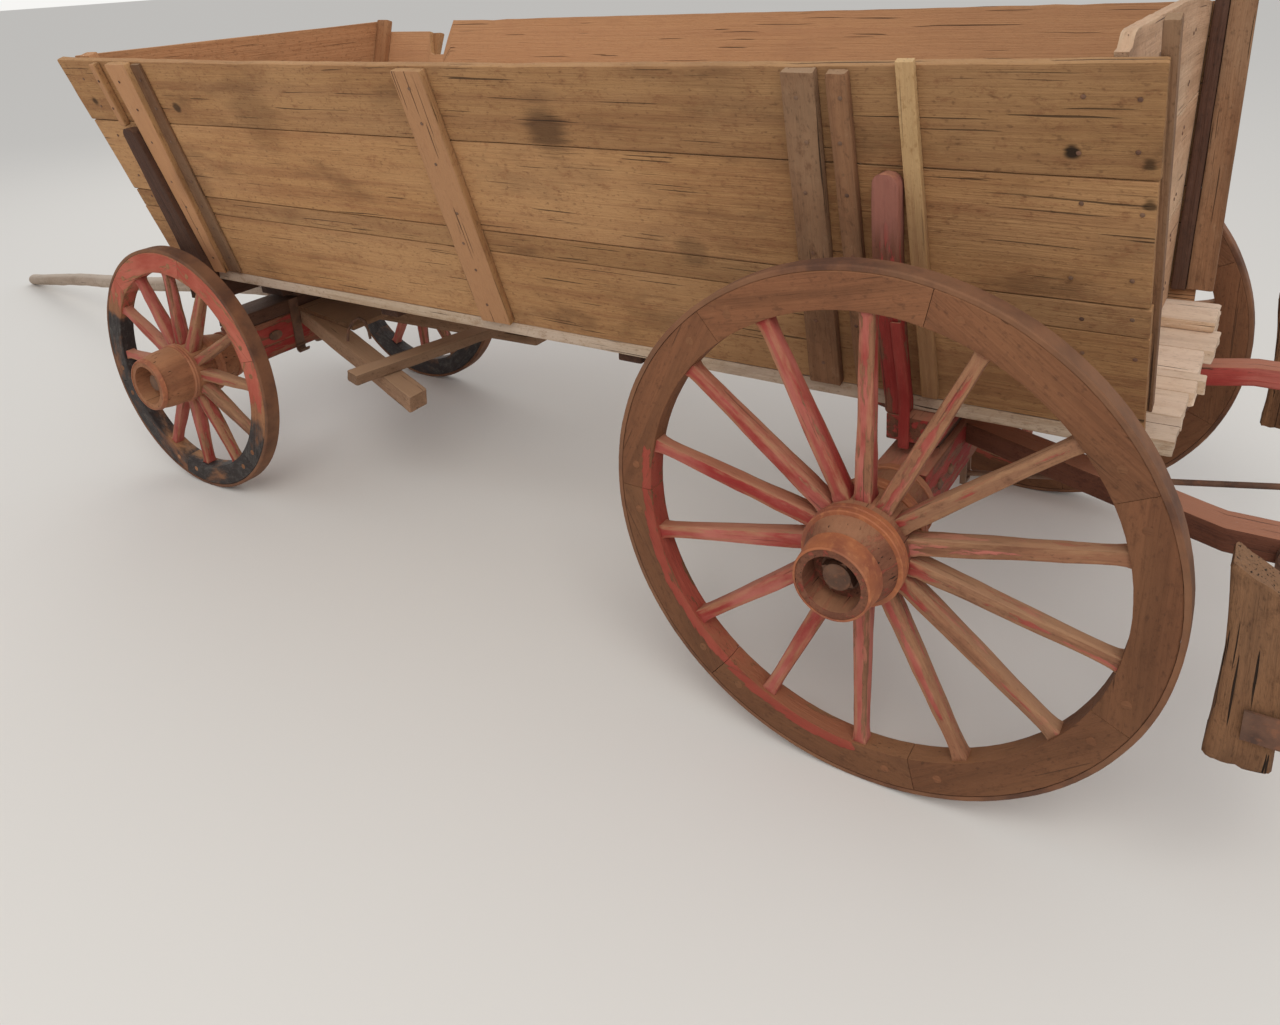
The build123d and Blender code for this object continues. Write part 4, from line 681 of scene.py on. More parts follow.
SPOTS = {
    "boards": wall_spots(
        (833, 1394, 75, "#4a3220", 0.7),
        (-318, 1403, 16, "#1e130b", 0.95),
        (-440, 1386, 14, "#33210f", 0.8),
        (-444, 1311, 14, "#33210f", 0.8),
        (2709, 1421, 20, "#2c1c10", 0.8),
        (2264, 1410, 20, "#2c1c10", 0.8),
        (510, 1112, 50, "#4c3523", 0.4),
        (1900, 1400, 130, "#664428", 0.4),
        (2380, 1150, 100, "#5f3b26", 0.4),
    ),
    # Faded salmon at a stake's top and a hound's end
    "gear": (
        ((fore(8), FLOOR_HALF + 0.21, 1.29), 0.13, "#a96e60", 0.7),
        ((fore(-690), -0.455, 0.665), 0.13, "#b9695c", 0.8),
    ),
    # The new strip is brown at its foot
    "pine": wall_spots((-35, 960, 420, "#8b6444", 0.8)),
}

finishes = {}


def make_finishes(looks):
    """One material for each real finish, with the colours and wear that the panel holds."""
    for key, (name, look) in WOODS.items():
        if key == "boards":
            look = look._replace(light=hex_of(looks.board_colour))
        if look.paint:
            look = look._replace(cover=look.cover + looks.paint_left)
        if key in ("gear", "spoke"):
            look = look._replace(paint=hex_of(looks.paint_colour))
        look = look._replace(crack=look.crack * looks.checks, dust_share=look.dust_share * looks.dust)
        finishes[key] = wood_finish(name, look, SPOTS.get(key, ()))
    for key, (name, look) in IRONS.items():
        if key == "iron":
            look = look._replace(light=hex_of(looks.rust_colour))
        finishes[key] = iron_finish(name, look)


# The box


def wall_board(work, side, low, top_line, rear, front, kind, number, tone, stations=None):
    """Lengthwise wall board from the outer face inwards; top_line gives its upper edge along its run."""

    def section(t):
        x = rear + (front - rear) * t
        top = top_line(x)
        foot = wall_point(side, x, low, WALL_T)
        if low <= FLOOR_TOP + CLEAR:
            foot = Vector((x, side * inner_half(FLOOR_TOP), FLOOR_TOP))
        return [wall_point(side, x, low), wall_point(side, x, top), wall_point(side, x, top, WALL_T), foot]

    timber(work, section, kind, number, steps=56, stations=stations, tone=tone)


def left_top(x):
    """Upper edge of the left wall: a slight sag with chipped places."""
    middle, half = (WALL_REAR + WALL_FRONT) / 2, (WALL_FRONT - WALL_REAR) / 2
    sag = 0.014 * (1 - ((x - middle) / half) ** 2)
    return WALL_TOP - sag - 0.004 * abs(noise.noise(Vector((x * 7, 0, 3)))) - 0.0015


# Notch in the right wall's upper edge: where each stretch starts and ends, and how far down it lies there
NOTCH = ((2300, 2330, 0.0, 0.13), (2330, 2400, 0.13, 0.13), (2400, 2420, 0.13, 0.04))
LOWER_FRONT = 0.04


def right_top(x):
    """Upper edge of the right wall, with the notch and the lower front end."""
    edge = WALL_TOP - 0.006 * abs(noise.noise(Vector((x * 6, 5, 3)))) - 0.001
    for start, end, drop_from, drop_to in NOTCH:
        start, end = fore(start), fore(end)
        if start <= x < end:
            return edge - drop_from - (drop_to - drop_from) * (x - start) / (end - start)
    return edge - (LOWER_FRONT if x >= fore(NOTCH[-1][1]) else 0.0)


# Lower boards of a wall: heights in metres, then how far their ends stand off the wall's ends in millimetres
SEAMS = ((0.800, 1.034, 0, 0), (1.036, 1.098, 0, -4), (1.101, 1.354, 3, 2))
TOP_SEAM = 1.356
TOP_FRONT = WALL_FRONT + 0.012
RIGHT_STATIONS = sorted(
    [i / 50 for i in range(51)]
    + [(fore(x) - WALL_REAR) / (TOP_FRONT - WALL_REAR) for x in (2295, 2315, 2330, 2355, 2385, 2402, 2422)]
)
# Shade of each board from the bottom upwards, -1 darkest
WALL_TONES = {1: (0.2, -0.5, 0.5, -0.3), -1: (0.0, 0.5, -0.2, 0.4)}


def wall_coat(place):
    """The walls are darker towards the rear and lighter ahead of the middle."""
    run = place.x - REAR_X
    return 0.0, 0.0, 0.55 * max(0.0, min(1.0, run - 0.9)) - 0.75 * max(0.0, min(1.0, (0.75 - run) / 0.7))


def build_walls():
    """Both flared side walls, four boards each."""
    for side_name, side in SIDES:
        work = Work(wall_coat)
        tones = WALL_TONES[side]
        for number, (low, high, rear, front) in enumerate(SEAMS):
            start, end = WALL_REAR + rear / 1000, WALL_FRONT + front / 1000
            wall_board(work, side, low, lambda x, high=high: high, start, end, "wall_board", 10 * side + number,
                       tones[number])
        top_line, stations = (left_top, None) if side == 1 else (right_top, RIGHT_STATIONS)
        wall_board(work, side, TOP_SEAM, top_line, WALL_REAR, TOP_FRONT, "top_board", 10 * side, tones[3], stations)
        work.build(f"side_wall_{side_name}", "boards", "wagon", [f"side_{side_name}_boards"], "weathered_boards")


def leaning(side, rears, fronts, heights, depths):
    """Section of an upright that leans with a side wall; edges and height run from foot to top."""

    def section(t):
        rear, front, z = [low + (high - low) * t for low, high in (rears, fronts, heights)]
        near, far = depths
        return [wall_point(side, x, z, depth) for x, depth in ((rear, near), (front, near), (front, far), (rear, far))]

    return section


def inside_post(side, rear, front, low, high, thickness):
    """Section of a straight upright on a side wall's inner face."""
    return leaning(side, (rear, rear), (front, front), (low, high), (WALL_T, WALL_T + thickness))


# Millimetres: fore and aft edges at the foot and the top, then thickness, foot and top heights
Batten = namedtuple("Batten", "rear_low front_low rear_high front_high thickness bottom top tone")
LEFT_BATTENS = (
    Batten(2569, 2599, 2552, 2582, 22, 1345, 1556, -0.4),
    Batten(2468, 2535, 2380, 2490, 24, 806, 1556, 0.2),
    # A thin strip at the darkest tone, just to the rear of the wide batten
    Batten(2402, 2466, 2327, 2378, 10, 806, 1552, -1.0),
    Batten(1165, 1275, 1145, 1247, 24, 806, 1545, -0.3),
    Batten(173, 251, 130, 198, 24, 806, 1552, -0.1),
    Batten(95, 135, 66, 110, 22, 806, 1549, 0.6),
)
RIGHT_BATTENS = (LEFT_BATTENS[1], *LEFT_BATTENS[3:5])
DARKER_BATTENS = (LEFT_BATTENS[2], *LEFT_BATTENS[4:])
NEW_STRIP = Batten(-50, -14, -58, -24, 16, 812, 1567, None)
# Battens stay below the wall's upper edge, which is lower at the right front
HIGHEST = {1: 1.556, -1: 1.522}


def nailed_batten(work, side, batten, highest, kind, number=0):
    """Batten on the outside of a wall."""
    section = leaning(
        side, (fore(batten.rear_low), fore(batten.rear_high)), (fore(batten.front_low), fore(batten.front_high)),
        (batten.bottom / 1000, min(batten.top / 1000, highest)), (0.0, -batten.thickness / 1000),
    )
    timber(work, section, kind, number, steps=18, tone=batten.tone)


def build_battens():
    """Battens up the walls, the thin dark one and the new pine strip."""
    work, darker_battens, strip = Work(wall_coat), Work(), Work()
    for side, battens in ((1, LEFT_BATTENS), (-1, RIGHT_BATTENS)):
        for number, batten in enumerate(battens):
            target = darker_battens if batten in DARKER_BATTENS else work
            nailed_batten(target, side, batten, HIGHEST[side], "batten", 5 * side + number)
    work.build("wall_battens", "boards", "wagon", ["side_battens"], "weathered_boards")
    darker_battens.build("darker_wall_battens", "bare", "wagon", slot="weathered_boards")
    nailed_batten(strip, 1, NEW_STRIP, 2.0, "new_strip")
    strip.build("new_pine_strip", "pine", "wagon", ["side_new_strip"], "pale_boards")


# Millimetres: right and left edges and the rear end, then the shade
FLOOR_BOARDS = (
    (301, 425, -519, -1.0),
    (163, 299, -518, 0.2),
    (85, 161, -526, 0.9),
    (41, 83, -541, 0.0),
    (-112, 39, -521, 0.7),
    (-264, -114, -540, 0.3),
    (-425, -266, -528, -0.3),
)
# Millimetres forward: middles of the two cleats, and half of their width
FLOOR_CLEATS = (800, 1720)
CLEAT_HALF = 37.5


def build_floor():
    """Floor planks with uneven rear ends, their cleats and the loose plank at the right wall."""
    work, cleats, plank = Work(), Work(), Work()
    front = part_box("floor_boards")[1].x
    for number, (right, left, rear, tone) in enumerate(FLOOR_BOARDS):
        low, high = (fore(rear), right / 1000, FLOOR_BOTTOM), (front, left / 1000, FLOOR_TOP)
        box_timber(work, low, high, 0, "floor_plank", number, tone)
    work.build("floor_planks", "floor", "wagon", ["floor_boards"], "pale_boards")
    low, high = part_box("floor_cleats")
    for number, middle in enumerate(FLOOR_CLEATS):
        rear, front = fore(middle - CLEAT_HALF), fore(middle + CLEAT_HALF)
        box_timber(cleats, (rear, low.y, low.z), (front, high.y, high.z), 1, "floor_cleat", number)
    cleats.build("floor_cross_cleats", "dark", "wagon", ["floor_cleats"], "dark_timber")
    node_timber(plank, "raised_plank", 0, "loose_plank")
    plank.build("loose_plank", "floor", "wagon", ["raised_plank"], "pale_boards")


def cross_board(work, x, low, top_line, gap, kind, number, steps=26):
    """Board across the box, cut to the flare at both ends; top_line gives its upper edge from side to side."""

    def section(t):
        share = 2 * t - 1
        top = top_line(share)
        low_y, high_y = share * (inner_half(low) - gap), share * (inner_half(top) - gap)
        front = x + WALL_T
        return [Vector(p) for p in ((x, low_y, low), (x, high_y, top), (front, high_y, top), (front, low_y, low))]

    timber(work, section, kind, number, steps=steps)


def torn_top(share):
    """Upper edge of the tailgate's top board: worn down to the right, torn away at its left end."""
    top = GATE_TOP - 0.003 * abs(noise.noise(Vector((share * 9, 1, 1))))
    if share < 0.0:
        return top - 0.040 * share * share
    return top - 0.030 * max(0.0, min(1.0, (share - 0.90) / 0.06))


# Heights of the boards' lower and upper edges
HEAD_BOARDS = ((0.8, 1.05), (1.052, 1.31), (1.312, 1.57))
GATE_SEAMS = (1.080, 1.082, 1.345, 1.347)
GATE_TOP = 1.605
GATE_GAP = 0.005
# Ledges and uprights on the boards: inner and outer edge, thickness, foot and top
HEAD_UPRIGHT = (0.205, 0.295, 0.025, 0.765, 1.555)
GATE_LEDGE = (0.255, 0.325, 0.022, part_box("tailgate_boards")[0].z + 0.02, 1.545)
# Posts on the walls' inner faces: thickness and foot
POST_T, POST_FOOT, CORNER_FOOT, CORNER_W = 0.032, 0.838, 0.81, 0.06
# Stops beside the tailgate, in millimetres: side, rear edge, width and top
STOPS = ((1, -469, 28, 1617), (1, -367, 34, 1540), (-1, -436, 34, 1600), (-1, -367, 34, 1540))
# Upright plank at the right wall's rear end: edges in millimetres forward, then foot, top and thickness
END_PLANK = (-500, -436.5, 0.842, 1.640, 0.02)


def ledge(work, side, back, size, kind, number):
    """Upright ledge on a cross board's front face."""
    inner, outer, thickness, foot, top = size
    low_y, high_y = sorted((side * inner, side * outer))
    box_timber(work, (back, low_y, foot), (back + thickness, high_y, top), 2, kind, number)


def build_ends():
    """Headboard, tailgate with its ledges, stops and the upright end plank."""
    head, uprights, gate, ledges, plank = [Work() for _ in range(5)]
    stops = {1: Work(), -1: Work()}
    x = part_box("headboard_boards")[0].x
    for number, (low, high) in enumerate(HEAD_BOARDS):
        cross_board(head, x, low, lambda share, high=high: high, CLEAR, "headboard", number)
    head.build("headboard", "inner", "wagon", ["headboard_boards"], "weathered_boards")
    for number, (_, side) in enumerate(SIDES):
        ledge(uprights, side, x + WALL_T, HEAD_UPRIGHT, "head_upright", number)
        corner = inside_post(side, x - CORNER_W, x, CORNER_FOOT, WALL_TOP, POST_T)
        timber(uprights, corner, "head_corner", number, steps=14)
    uprights.build("headboard_uprights", "inner", "wagon", ["headboard_cleats"], "weathered_boards")
    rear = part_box("tailgate_boards")[0].x
    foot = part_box("tailgate_boards")[0].z
    for number, (low, line) in enumerate((
        (foot, lambda share: GATE_SEAMS[0]), (GATE_SEAMS[1], lambda share: GATE_SEAMS[2]), (GATE_SEAMS[3], torn_top),
    )):
        cross_board(gate, rear, low, line, GATE_GAP, "tailgate", number, steps=44)
    gate.build("tailgate", "gate", "tailgate", ["tailgate_boards"], "weathered_boards")
    for number, (_, side) in enumerate(SIDES):
        ledge(ledges, side, rear + WALL_T, GATE_LEDGE, "ledge", number)
    ledges.build("tailgate_ledges", "inner", "tailgate", ["tailgate_cleats"], "weathered_boards")
    for number, (side, start, width, top) in enumerate(STOPS):
        post = inside_post(side, fore(start), fore(start + width), POST_FOOT, top / 1000, POST_T)
        timber(stops[side], post, "stop", number, steps=16)
    stops[-1].build("tailgate_stops_right", "dark", "wagon", ["tail_stops"], "dark_timber")
    stops[1].build("tailgate_stops_left", "bare", "wagon", slot="dark_timber")
    start, end, *size = END_PLANK
    timber(plank, inside_post(-1, fore(start), fore(end), *size), "end_plank", steps=18)
    plank.build("end_plank", "bare", "wagon", ["tail_end_plank"], "weathered_boards")


# Millimetres: middle at the foot and the top, width there, bow between and the top's height
Stake = namedtuple("Stake", "fore_low fore_high width_low width_high bow top")
REAR_STAKE = Stake(35, 9, 56, 56, 10, 1350)
FRONT_STAKE = Stake(2602, 2545, 120, 76, 2, 1340)
STAKE_T = 0.042
STAKE_STATIONS = [i / 20 * 0.94 for i in range(20)] + [0.95, 0.965, 0.978, 0.988, 0.995, 1.0]
# Red strips up the rear stakes: edges in millimetres forward, foot, length and thickness, and where they start to lean
STRIP_FORE = (2, 26)
STRIP_FOOT, STRIP_LENGTH, STRIP_T, STRIP_BEND = 0.688, 0.327, 0.010, 0.80235
# Inner face of a strip below that bend, and the point that its leaning face starts from
STRIP_Y, STRIP_LEAN_Y, STRIP_LEAN_Z = 0.4682, 0.4674, 0.8


def plan(side, rear, front, near, far, z):
    """Corners of a level section beside the box."""
    return [Vector((x, side * y, z)) for x, y in ((rear, near), (front, near), (front, far), (rear, far))]


def stake_section(side, stake):
    """Section of a stake against the wall's outer face, bowed, tapered and rounded at the top."""
    top = stake.top / 1000
    shoulder = top - stake.width_high / 2000

    def section(t):
        z = FLOOR_BOTTOM + (top - FLOOR_BOTTOM) * t
        share = min(1.0, (z - FLOOR_BOTTOM) / (shoulder - FLOOR_BOTTOM))
        middle = stake.fore_low + (stake.fore_high - stake.fore_low) * share + stake.bow * 4 * share * (1 - share)
        half = (stake.width_low + (stake.width_high - stake.width_low) * share) / 2000
        if z > shoulder:
            half *= math.sqrt(max(0.06, 1 - ((z - shoulder) / (top - shoulder)) ** 2))
        rise = FLARE * max(0.0, z - FLOOR_TOP)
        near, far = FLOOR_HALF + CLEAR + rise, FLOOR_HALF + STAKE_T + rise
        return plan(side, fore(middle) - half, fore(middle) + half, near, far, z)

    return section


def strip_coat(place):
    """The strips on the rear stakes keep their red."""
    return 0.6, 0.0, 0.0


def build_stakes():
    """Stakes on the bolster ends and the red strips up the rear ones."""
    rear, front, strips = Work(gear_coat), Work(), Work(strip_coat)
    for _, side in SIDES:
        for work, stake, kind in ((rear, REAR_STAKE, "rear_stake"), (front, FRONT_STAKE, "front_stake")):
            timber(work, stake_section(side, stake), kind, side, stations=STAKE_STATIONS, spacing=0.03)

        def strip(t, side=side):
            z = STRIP_FOOT + STRIP_LENGTH * t
            near = STRIP_Y if z < STRIP_BEND else STRIP_LEAN_Y + FLARE * (z - STRIP_LEAN_Z)
            return plan(side, *[fore(x) for x in STRIP_FORE], near, near + STRIP_T, z)

        timber(strips, strip, "stake_strip", side)
    rear.build("rear_bolster_stakes", "gear", "wagon", ["bolster_stakes"], "red_timber")
    front.build("front_bolster_stakes", "dark", "wagon", slot="red_timber")
    strips.build("stake_red_strips", "gear", "wagon", slot="red_timber")


# Running gear


def gear_coat(place):
    """Red paint kept below the box's edge and lost on the stakes' upper halves."""
    if place.z > 0.8:
        return 0.25 - 0.9 * (place.z - 0.8), 0.0, 0.0
    return 0.25 * noise.noise(place * 2.3), 0.0, 0.0


def hound_paint_and_painted_shade(place):
    """The left rear hound has lost its red and is darker all over, painted shade for its side; the right one keeps its
    red.
    """
    # The left hound's lowered tone is painted shade
    return (-0.5, 0.0, -0.7) if place.y > 0.12 else (0.3, 0.0, 0.0)


# Rear hounds in plan, in millimetres from the rear axle and the centre line
HOUND_Y = 211
HOUND_SLOPE = 0.428
HOUND_BEND = -622
HOUND_ACROSS = 70 * math.hypot(1, HOUND_SLOPE)
REACH_HALF = 40.2
HOUND_STATIONS = [0, 0.04, 0.08, 0.115, 0.127, 0.14] + [0.16 + i * 0.049 for i in range(14)] + [0.848, 0.9, 0.95, 1.0]


def rear_hound_section(side):
    """Section of a rear hound that lies along the reach pole at its front and runs parallel behind the bend."""
    low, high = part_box("rear_hounds")

    def section(t):
        x = low.x + (high.x - low.x) * t
        outer = HOUND_Y - HOUND_SLOPE * max(HOUND_BEND, 1000 * (x - REAR_X))
        inner = max(REACH_HALF, outer - HOUND_ACROSS) / 1000
        outer = max(outer / 1000, inner + 0.003)
        corners = (inner, low.z), (outer, low.z), (outer, high.z), (inner, high.z)
        return [Vector((x, side * y, z)) for y, z in corners]

    return section


def build_rear_gear():
    """Rear bed, bolster, spacer, reach pole and hounds."""
    for number, (node, axis, finish) in enumerate((
        ("rear_axle_bed", 1, "gear"), ("rear_bolster", 1, "gear"),
        ("rear_spacer", 1, "dark"), ("reach_pole", 0, "gear"),
    )):
        work = Work(gear_coat)
        node_timber(work, node, axis, "rear_gear", number)
        work.build(f"{node}_timber", finish, "wagon", [node], GEAR_SLOTS[finish])
    hounds = Work(hound_paint_and_painted_shade)
    for number, (_, side) in enumerate(SIDES):
        timber(hounds, rear_hound_section(side), "rear_hound", number, stations=HOUND_STATIONS)
    hounds.build("rear_hound_timbers", "gear", "wagon", ["rear_hounds"], "red_timber")


GEAR_SLOTS = {"gear": "red_timber", "dark": "dark_timber"}
# The front hounds fall to the rear; lengths are along them from below the king bolt
HOUND_FALL = math.radians(7.2)
HOUND_ALONG = Vector((math.cos(HOUND_FALL), 0, math.sin(HOUND_FALL)))
HOUND_UP = Vector((-math.sin(HOUND_FALL), 0, math.cos(HOUND_FALL)))
HOUND_TOP = Vector((FRONT_X, 0, 0.557))
SPLAY_BACK, SPLAY_RUN, SPLAY_HALF, SPLAY_SLOPE = -0.92, 0.985, 0.378, 0.31
SPLAY_ACROSS = 0.08 * math.hypot(1, SPLAY_SLOPE)
SPLAY_DEEP = 0.06
# Board across the hounds: rear and front edges along them, half its length and its thickness
CROSS_BOARD = (0.383, 0.075, 0.127, 0.018)
# Sway bar: how far back its middle lies, then half its length, half its width and its thickness
SWAY_BAR = (0.764, 0.43, 0.03, 0.04)


def slab(first, second, rise):
    """Corners of a section with its foot between two points."""
    return [first, second, second + rise, first + rise]


def build_front_gear():
    """Front bolster and pad on the box, and the turning bed, sand bolster, hounds and sway bar."""
    for number, (node, body, finish) in enumerate((
        ("front_top_bolster", "wagon", "dark"), ("front_pad", "wagon", "dark"),
        ("front_axle_bed", "front_gear", "gear"), ("sand_bolster", "front_gear", "dark"),
    )):
        work = Work()
        node_timber(work, node, 1, "front_gear", number)
        work.build(f"{node}_timber", finish, body, [node], GEAR_SLOTS[finish])
    hounds, board, bar = Work(), Work(), Work()
    for number, (_, side) in enumerate(SIDES):

        def section(t, side=side):
            outer = SPLAY_HALF - SPLAY_SLOPE * SPLAY_RUN * t
            inner = max(CLEAR, outer - SPLAY_ACROSS)
            outer = max(outer, inner + 0.004)
            base = HOUND_TOP + HOUND_ALONG * (SPLAY_BACK + SPLAY_RUN * t) - HOUND_UP * SPLAY_DEEP
            near, far = Vector((0, side * inner, 0)), Vector((0, side * outer, 0))
            return slab(base + far, base + near, HOUND_UP * SPLAY_DEEP)

        timber(hounds, section, "front_hound", number, steps=20)
    hounds.build("front_hound_timbers", "grey", "front_gear", ["front_hounds"], "weathered_boards")

    def board_section(t):
        rear, front, half, thickness = CROSS_BOARD
        base = HOUND_TOP + Vector((0, 2 * half * t - half, 0))
        return slab(base - HOUND_ALONG * rear, base - HOUND_ALONG * front, HOUND_UP * thickness)

    timber(board, board_section, "hound_board", steps=10)
    board.build("front_hound_cross_board", "bare", "front_gear", slot="weathered_boards")
    width_way = HOUND_ALONG * math.cos(POLE_YAW) + Vector((0, math.sin(POLE_YAW), 0))
    length_way = Vector((0, math.cos(POLE_YAW), 0)) - HOUND_ALONG * math.sin(POLE_YAW)

    def bar_section(t):
        back, half, half_width, thickness = SWAY_BAR
        base = HOUND_TOP - HOUND_ALONG * back / math.cos(HOUND_FALL) + length_way * (2 * half * t - half)
        return slab(base - width_way * half_width, base + width_way * half_width, HOUND_UP * thickness)

    timber(bar, bar_section, "sway_bar", steps=18)
    bar.build("sway_bar_timber", "grey", "front_gear", ["sway_bar"], "weathered_boards")


# Pole: pin's place ahead of the front axle and its height, radius at the butt and the tip, and its shade
POLE_PIN = Vector((FRONT_X + 0.172, 0, 0.575))
BUTT_R, TIP_R = 0.039, 0.034
POLE_TONE = POLE_WEAR = 0.1
POLE_SIDES = 20
# The pole's slight bends to the side and up: how far, and in how many half waves
POLE_SWAY, POLE_LIFT = (0.012, 2.2), (0.008, 3.1)


def build_pole():
    """Peeled log with slight bends, knots and a rounded tip."""
    work = Work()
    tip_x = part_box("draught_pole")[1].x - TIP_R
    tip = Vector((tip_x, (tip_x - POLE_PIN.x) * math.tan(POLE_YAW), TIP_R))
    line = (tip - POLE_PIN).normalized()
    length = (tip - POLE_PIN).length
    side_way = Vector((-math.sin(POLE_YAW), math.cos(POLE_YAW), 0))
    up = line.cross(side_way).normalized()
    if up.z < 0:
        up = -up
    rings = []
    offset = Vector((3.1, 8.2, 1.4))
    runs = [-BUTT_R, -0.036] + [length * i / 70 for i in range(71)] + [length + end for end in (0.012, 0.024, 0.031)]
    for run in runs:
        share = max(0.0, min(1.0, run / length))
        radius = BUTT_R + (TIP_R - BUTT_R) * share
        if run > length:
            radius = TIP_R * math.sqrt(max(0.03, 1 - ((run - length) / TIP_R) ** 2))
        if run == runs[0]:
            radius *= 0.93
        bend = math.sin(share * math.pi)
        sway, lift = [most * math.sin(share * math.pi * waves) * bend for most, waves in (POLE_SWAY, POLE_LIFT)]
        centre = POLE_PIN + line * run + side_way * sway + up * lift
        points, grains = [], []
        for i in range(POLE_SIDES):
            turn = 2 * math.pi * i / POLE_SIDES
            ring_way = side_way * math.cos(turn) + up * math.sin(turn)
            knot = max(0.0, noise.noise(Vector((run * 3.0, turn, 4.0))) - 0.35) * 0.012
            wander = 0.0022 * (noise.noise((centre + ring_way * 0.04) * 9 + offset) - 0.3)
            points.append(centre + ring_way * (radius * 0.985 + wander + (knot if share < 0.97 else 0)))
            grains.append(Vector((run, radius * math.cos(turn), radius * math.sin(turn))) + offset)
        rings.append(work.loop(points, grains, [POLE_WEAR] * POLE_SIDES, POLE_TONE))
    work.solid(rings, POLE_TONE)
    work.build("draught_pole_log", "pole", "draught_pole", ["draught_pole"], "pole_wood")


# Brake blocks: inner and outer face, how far the top slopes down to the rear, the depth of the hollow that the tyre
# has worn, and how far the split sides draw in
BLOCK_IN, BLOCK_OUT, BLOCK_SLOPE, BLOCK_HOLLOW, BLOCK_PINCH = 0.690, 0.785, 0.060, 0.011, 0.006


def build_brake():
    """Brake beam and the two rough split blocks, hollowed by the tyres and sloped at the top."""
    beam, blocks = Work(gear_coat), Work()
    node_timber(beam, "brake_beam", 1, "brake_beam")
    beam.build("brake_beam_timber", "gear", "brake", ["brake_beam"], "red_timber")
    low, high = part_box("brake_blocks")
    for number, (_, side) in enumerate(SIDES):

        def section(t, side=side):
            hollow = BLOCK_HOLLOW * (1 - (2 * t - 1) ** 2)
            rear, front = low.x + 0.001, high.x - hollow - 0.001
            pinch = BLOCK_PINCH * (1 - math.cos(t * 4.1))
            front_top = high.z - 0.006
            z_rear, z_front = [low.z + (top - low.z) * t for top in (front_top - BLOCK_SLOPE, front_top)]
            return [
                Vector((rear, side * (BLOCK_IN + pinch), z_rear)),
                Vector((front, side * (BLOCK_IN + 0.2 * pinch), z_front)),
                Vector((front, side * (BLOCK_OUT - 0.6 * pinch), z_front)),
                Vector((rear, side * (BLOCK_OUT - pinch), z_rear)),
            ]

        timber(blocks, section, "brake_block", number, steps=30, spacing=0.016)
    blocks.build("brake_block_wood", "block", "brake", ["brake_blocks"], "weathered_boards")


# Wheels


WheelKind = namedtuple(
    "WheelKind",
    "name axle_x radius face_y spokes phase felloes joint_turn depth nose_out nose_r nose_band belly recess_r "
    "collar_low collar_high hub_r tail",
)
WHEEL_KINDS = (
    WheelKind("rear", REAR_X, 0.600, 0.763, 14, 0.5, 7, 0.0, 0.080, 0.153, 0.081, 0.054, 0.002, 0.061,
              0.018, 0.053, 0.103, 0.215),
    WheelKind("front", FRONT_X, 0.456, 0.599, 12, 0.0, 6, math.radians(15), 0.074, 0.139, 0.092, 0.016, 0.005, 0.070,
              0.004, 0.022, 0.106, 0.200),
)
REAR_KIND, FRONT_KIND = WHEEL_KINDS
RIM_W = 0.055
TYRE_T = 0.012
JOINT_GAP = 0.0012
# Nave: collar radius, the inner collar's place, the tail band's width and seat, the recess and the axle's bore
COLLAR_R = 0.109
INNER_HIGH, INNER_LOW = -0.072, -0.105
TAIL_BAND, TAIL_R = 0.026, 0.086
RECESS, BORE_R = 0.061, 0.02905
# How far a nave narrows at its shoulder and its waist
SHOULDER, WAIST = 0.004, 0.003
BAND_EDGE = 0.002
# Spoke: width and depth at the nave, how much of each is shaved away by the rim, and where that ends
SPOKE_W, SPOKE_D, SPOKE_W_TAPER, SPOKE_D_TAPER, TAPER_END = 0.041, 0.048, 0.010, 0.012, 0.85
# How much narrower it is in the nave and where that ends; then where its shoulder at the rim starts, how long the
# shoulder is, and how much wider and deeper it makes the spoke
NECK_IN, NECK_END = 0.003, 0.16
FOOT_START, FOOT_RUN, FOOT_W, FOOT_D = 0.93, 0.07, 0.004, 0.003
# Pegs in a felloe's face: radius, and how far from a joint as a share of the felloe
PEG_R, PEG_SHARE = 0.0095, 0.12
SPOKE_STATIONS = [0, 0.03, 0.06, 0.1, 0.16, 0.24, 0.32, 0.4, 0.48, 0.56, 0.64, 0.72, 0.8, 0.87, 0.93, 0.97, 1.0]


def spoke_section(kind, side, angle):
    """Section of a spoke from the nave to the rim, narrower in the nave and shouldered at the rim."""
    reach = kind.radius - TYRE_T - kind.depth - kind.hub_r
    out_way = Vector((math.cos(angle), 0, math.sin(angle)))
    along_rim = Vector((-math.sin(angle), 0, math.cos(angle)))
    centre = Vector((kind.axle_x, side * (kind.face_y - RIM_W / 2), kind.radius))

    def section(t):
        place = kind.hub_r - 0.006 + (reach + 0.008) * t
        taper = min(1.0, t / TAPER_END)
        width, depth = SPOKE_W - SPOKE_W_TAPER * taper, SPOKE_D - SPOKE_D_TAPER * taper
        if t < NECK_END:
            width -= NECK_IN * (1 - t / NECK_END)
        if t > FOOT_START:
            width += FOOT_W * (t - FOOT_START) / FOOT_RUN
            depth += FOOT_D * (t - FOOT_START) / FOOT_RUN
        middle = centre + out_way * place
        a, b = along_rim * width / 2, Vector((0, depth / 2, 0))
        return [middle - a - b, middle + a - b, middle + a + b, middle - a + b]

    return section


def front_rim_paint_tar_and_painted_light(place):
    """Salmon paint over the front wheel's top from ten to three o'clock, lightened there as painted light, and tar on
    the rest.
    """
    turn = math.degrees(math.atan2(place.z - FRONT_KIND.radius, place.x - FRONT_X)) % 360
    turn = turn - 360 if turn > 290 else turn
    inside = max(0.0, min(1.0, 0.5 + min(turn - 30, 190 - turn) / 14))
    # The third value makes the top arc lighter: painted light
    return 0.6 * inside, 0.62 * (1 - inside), 0.5 * inside


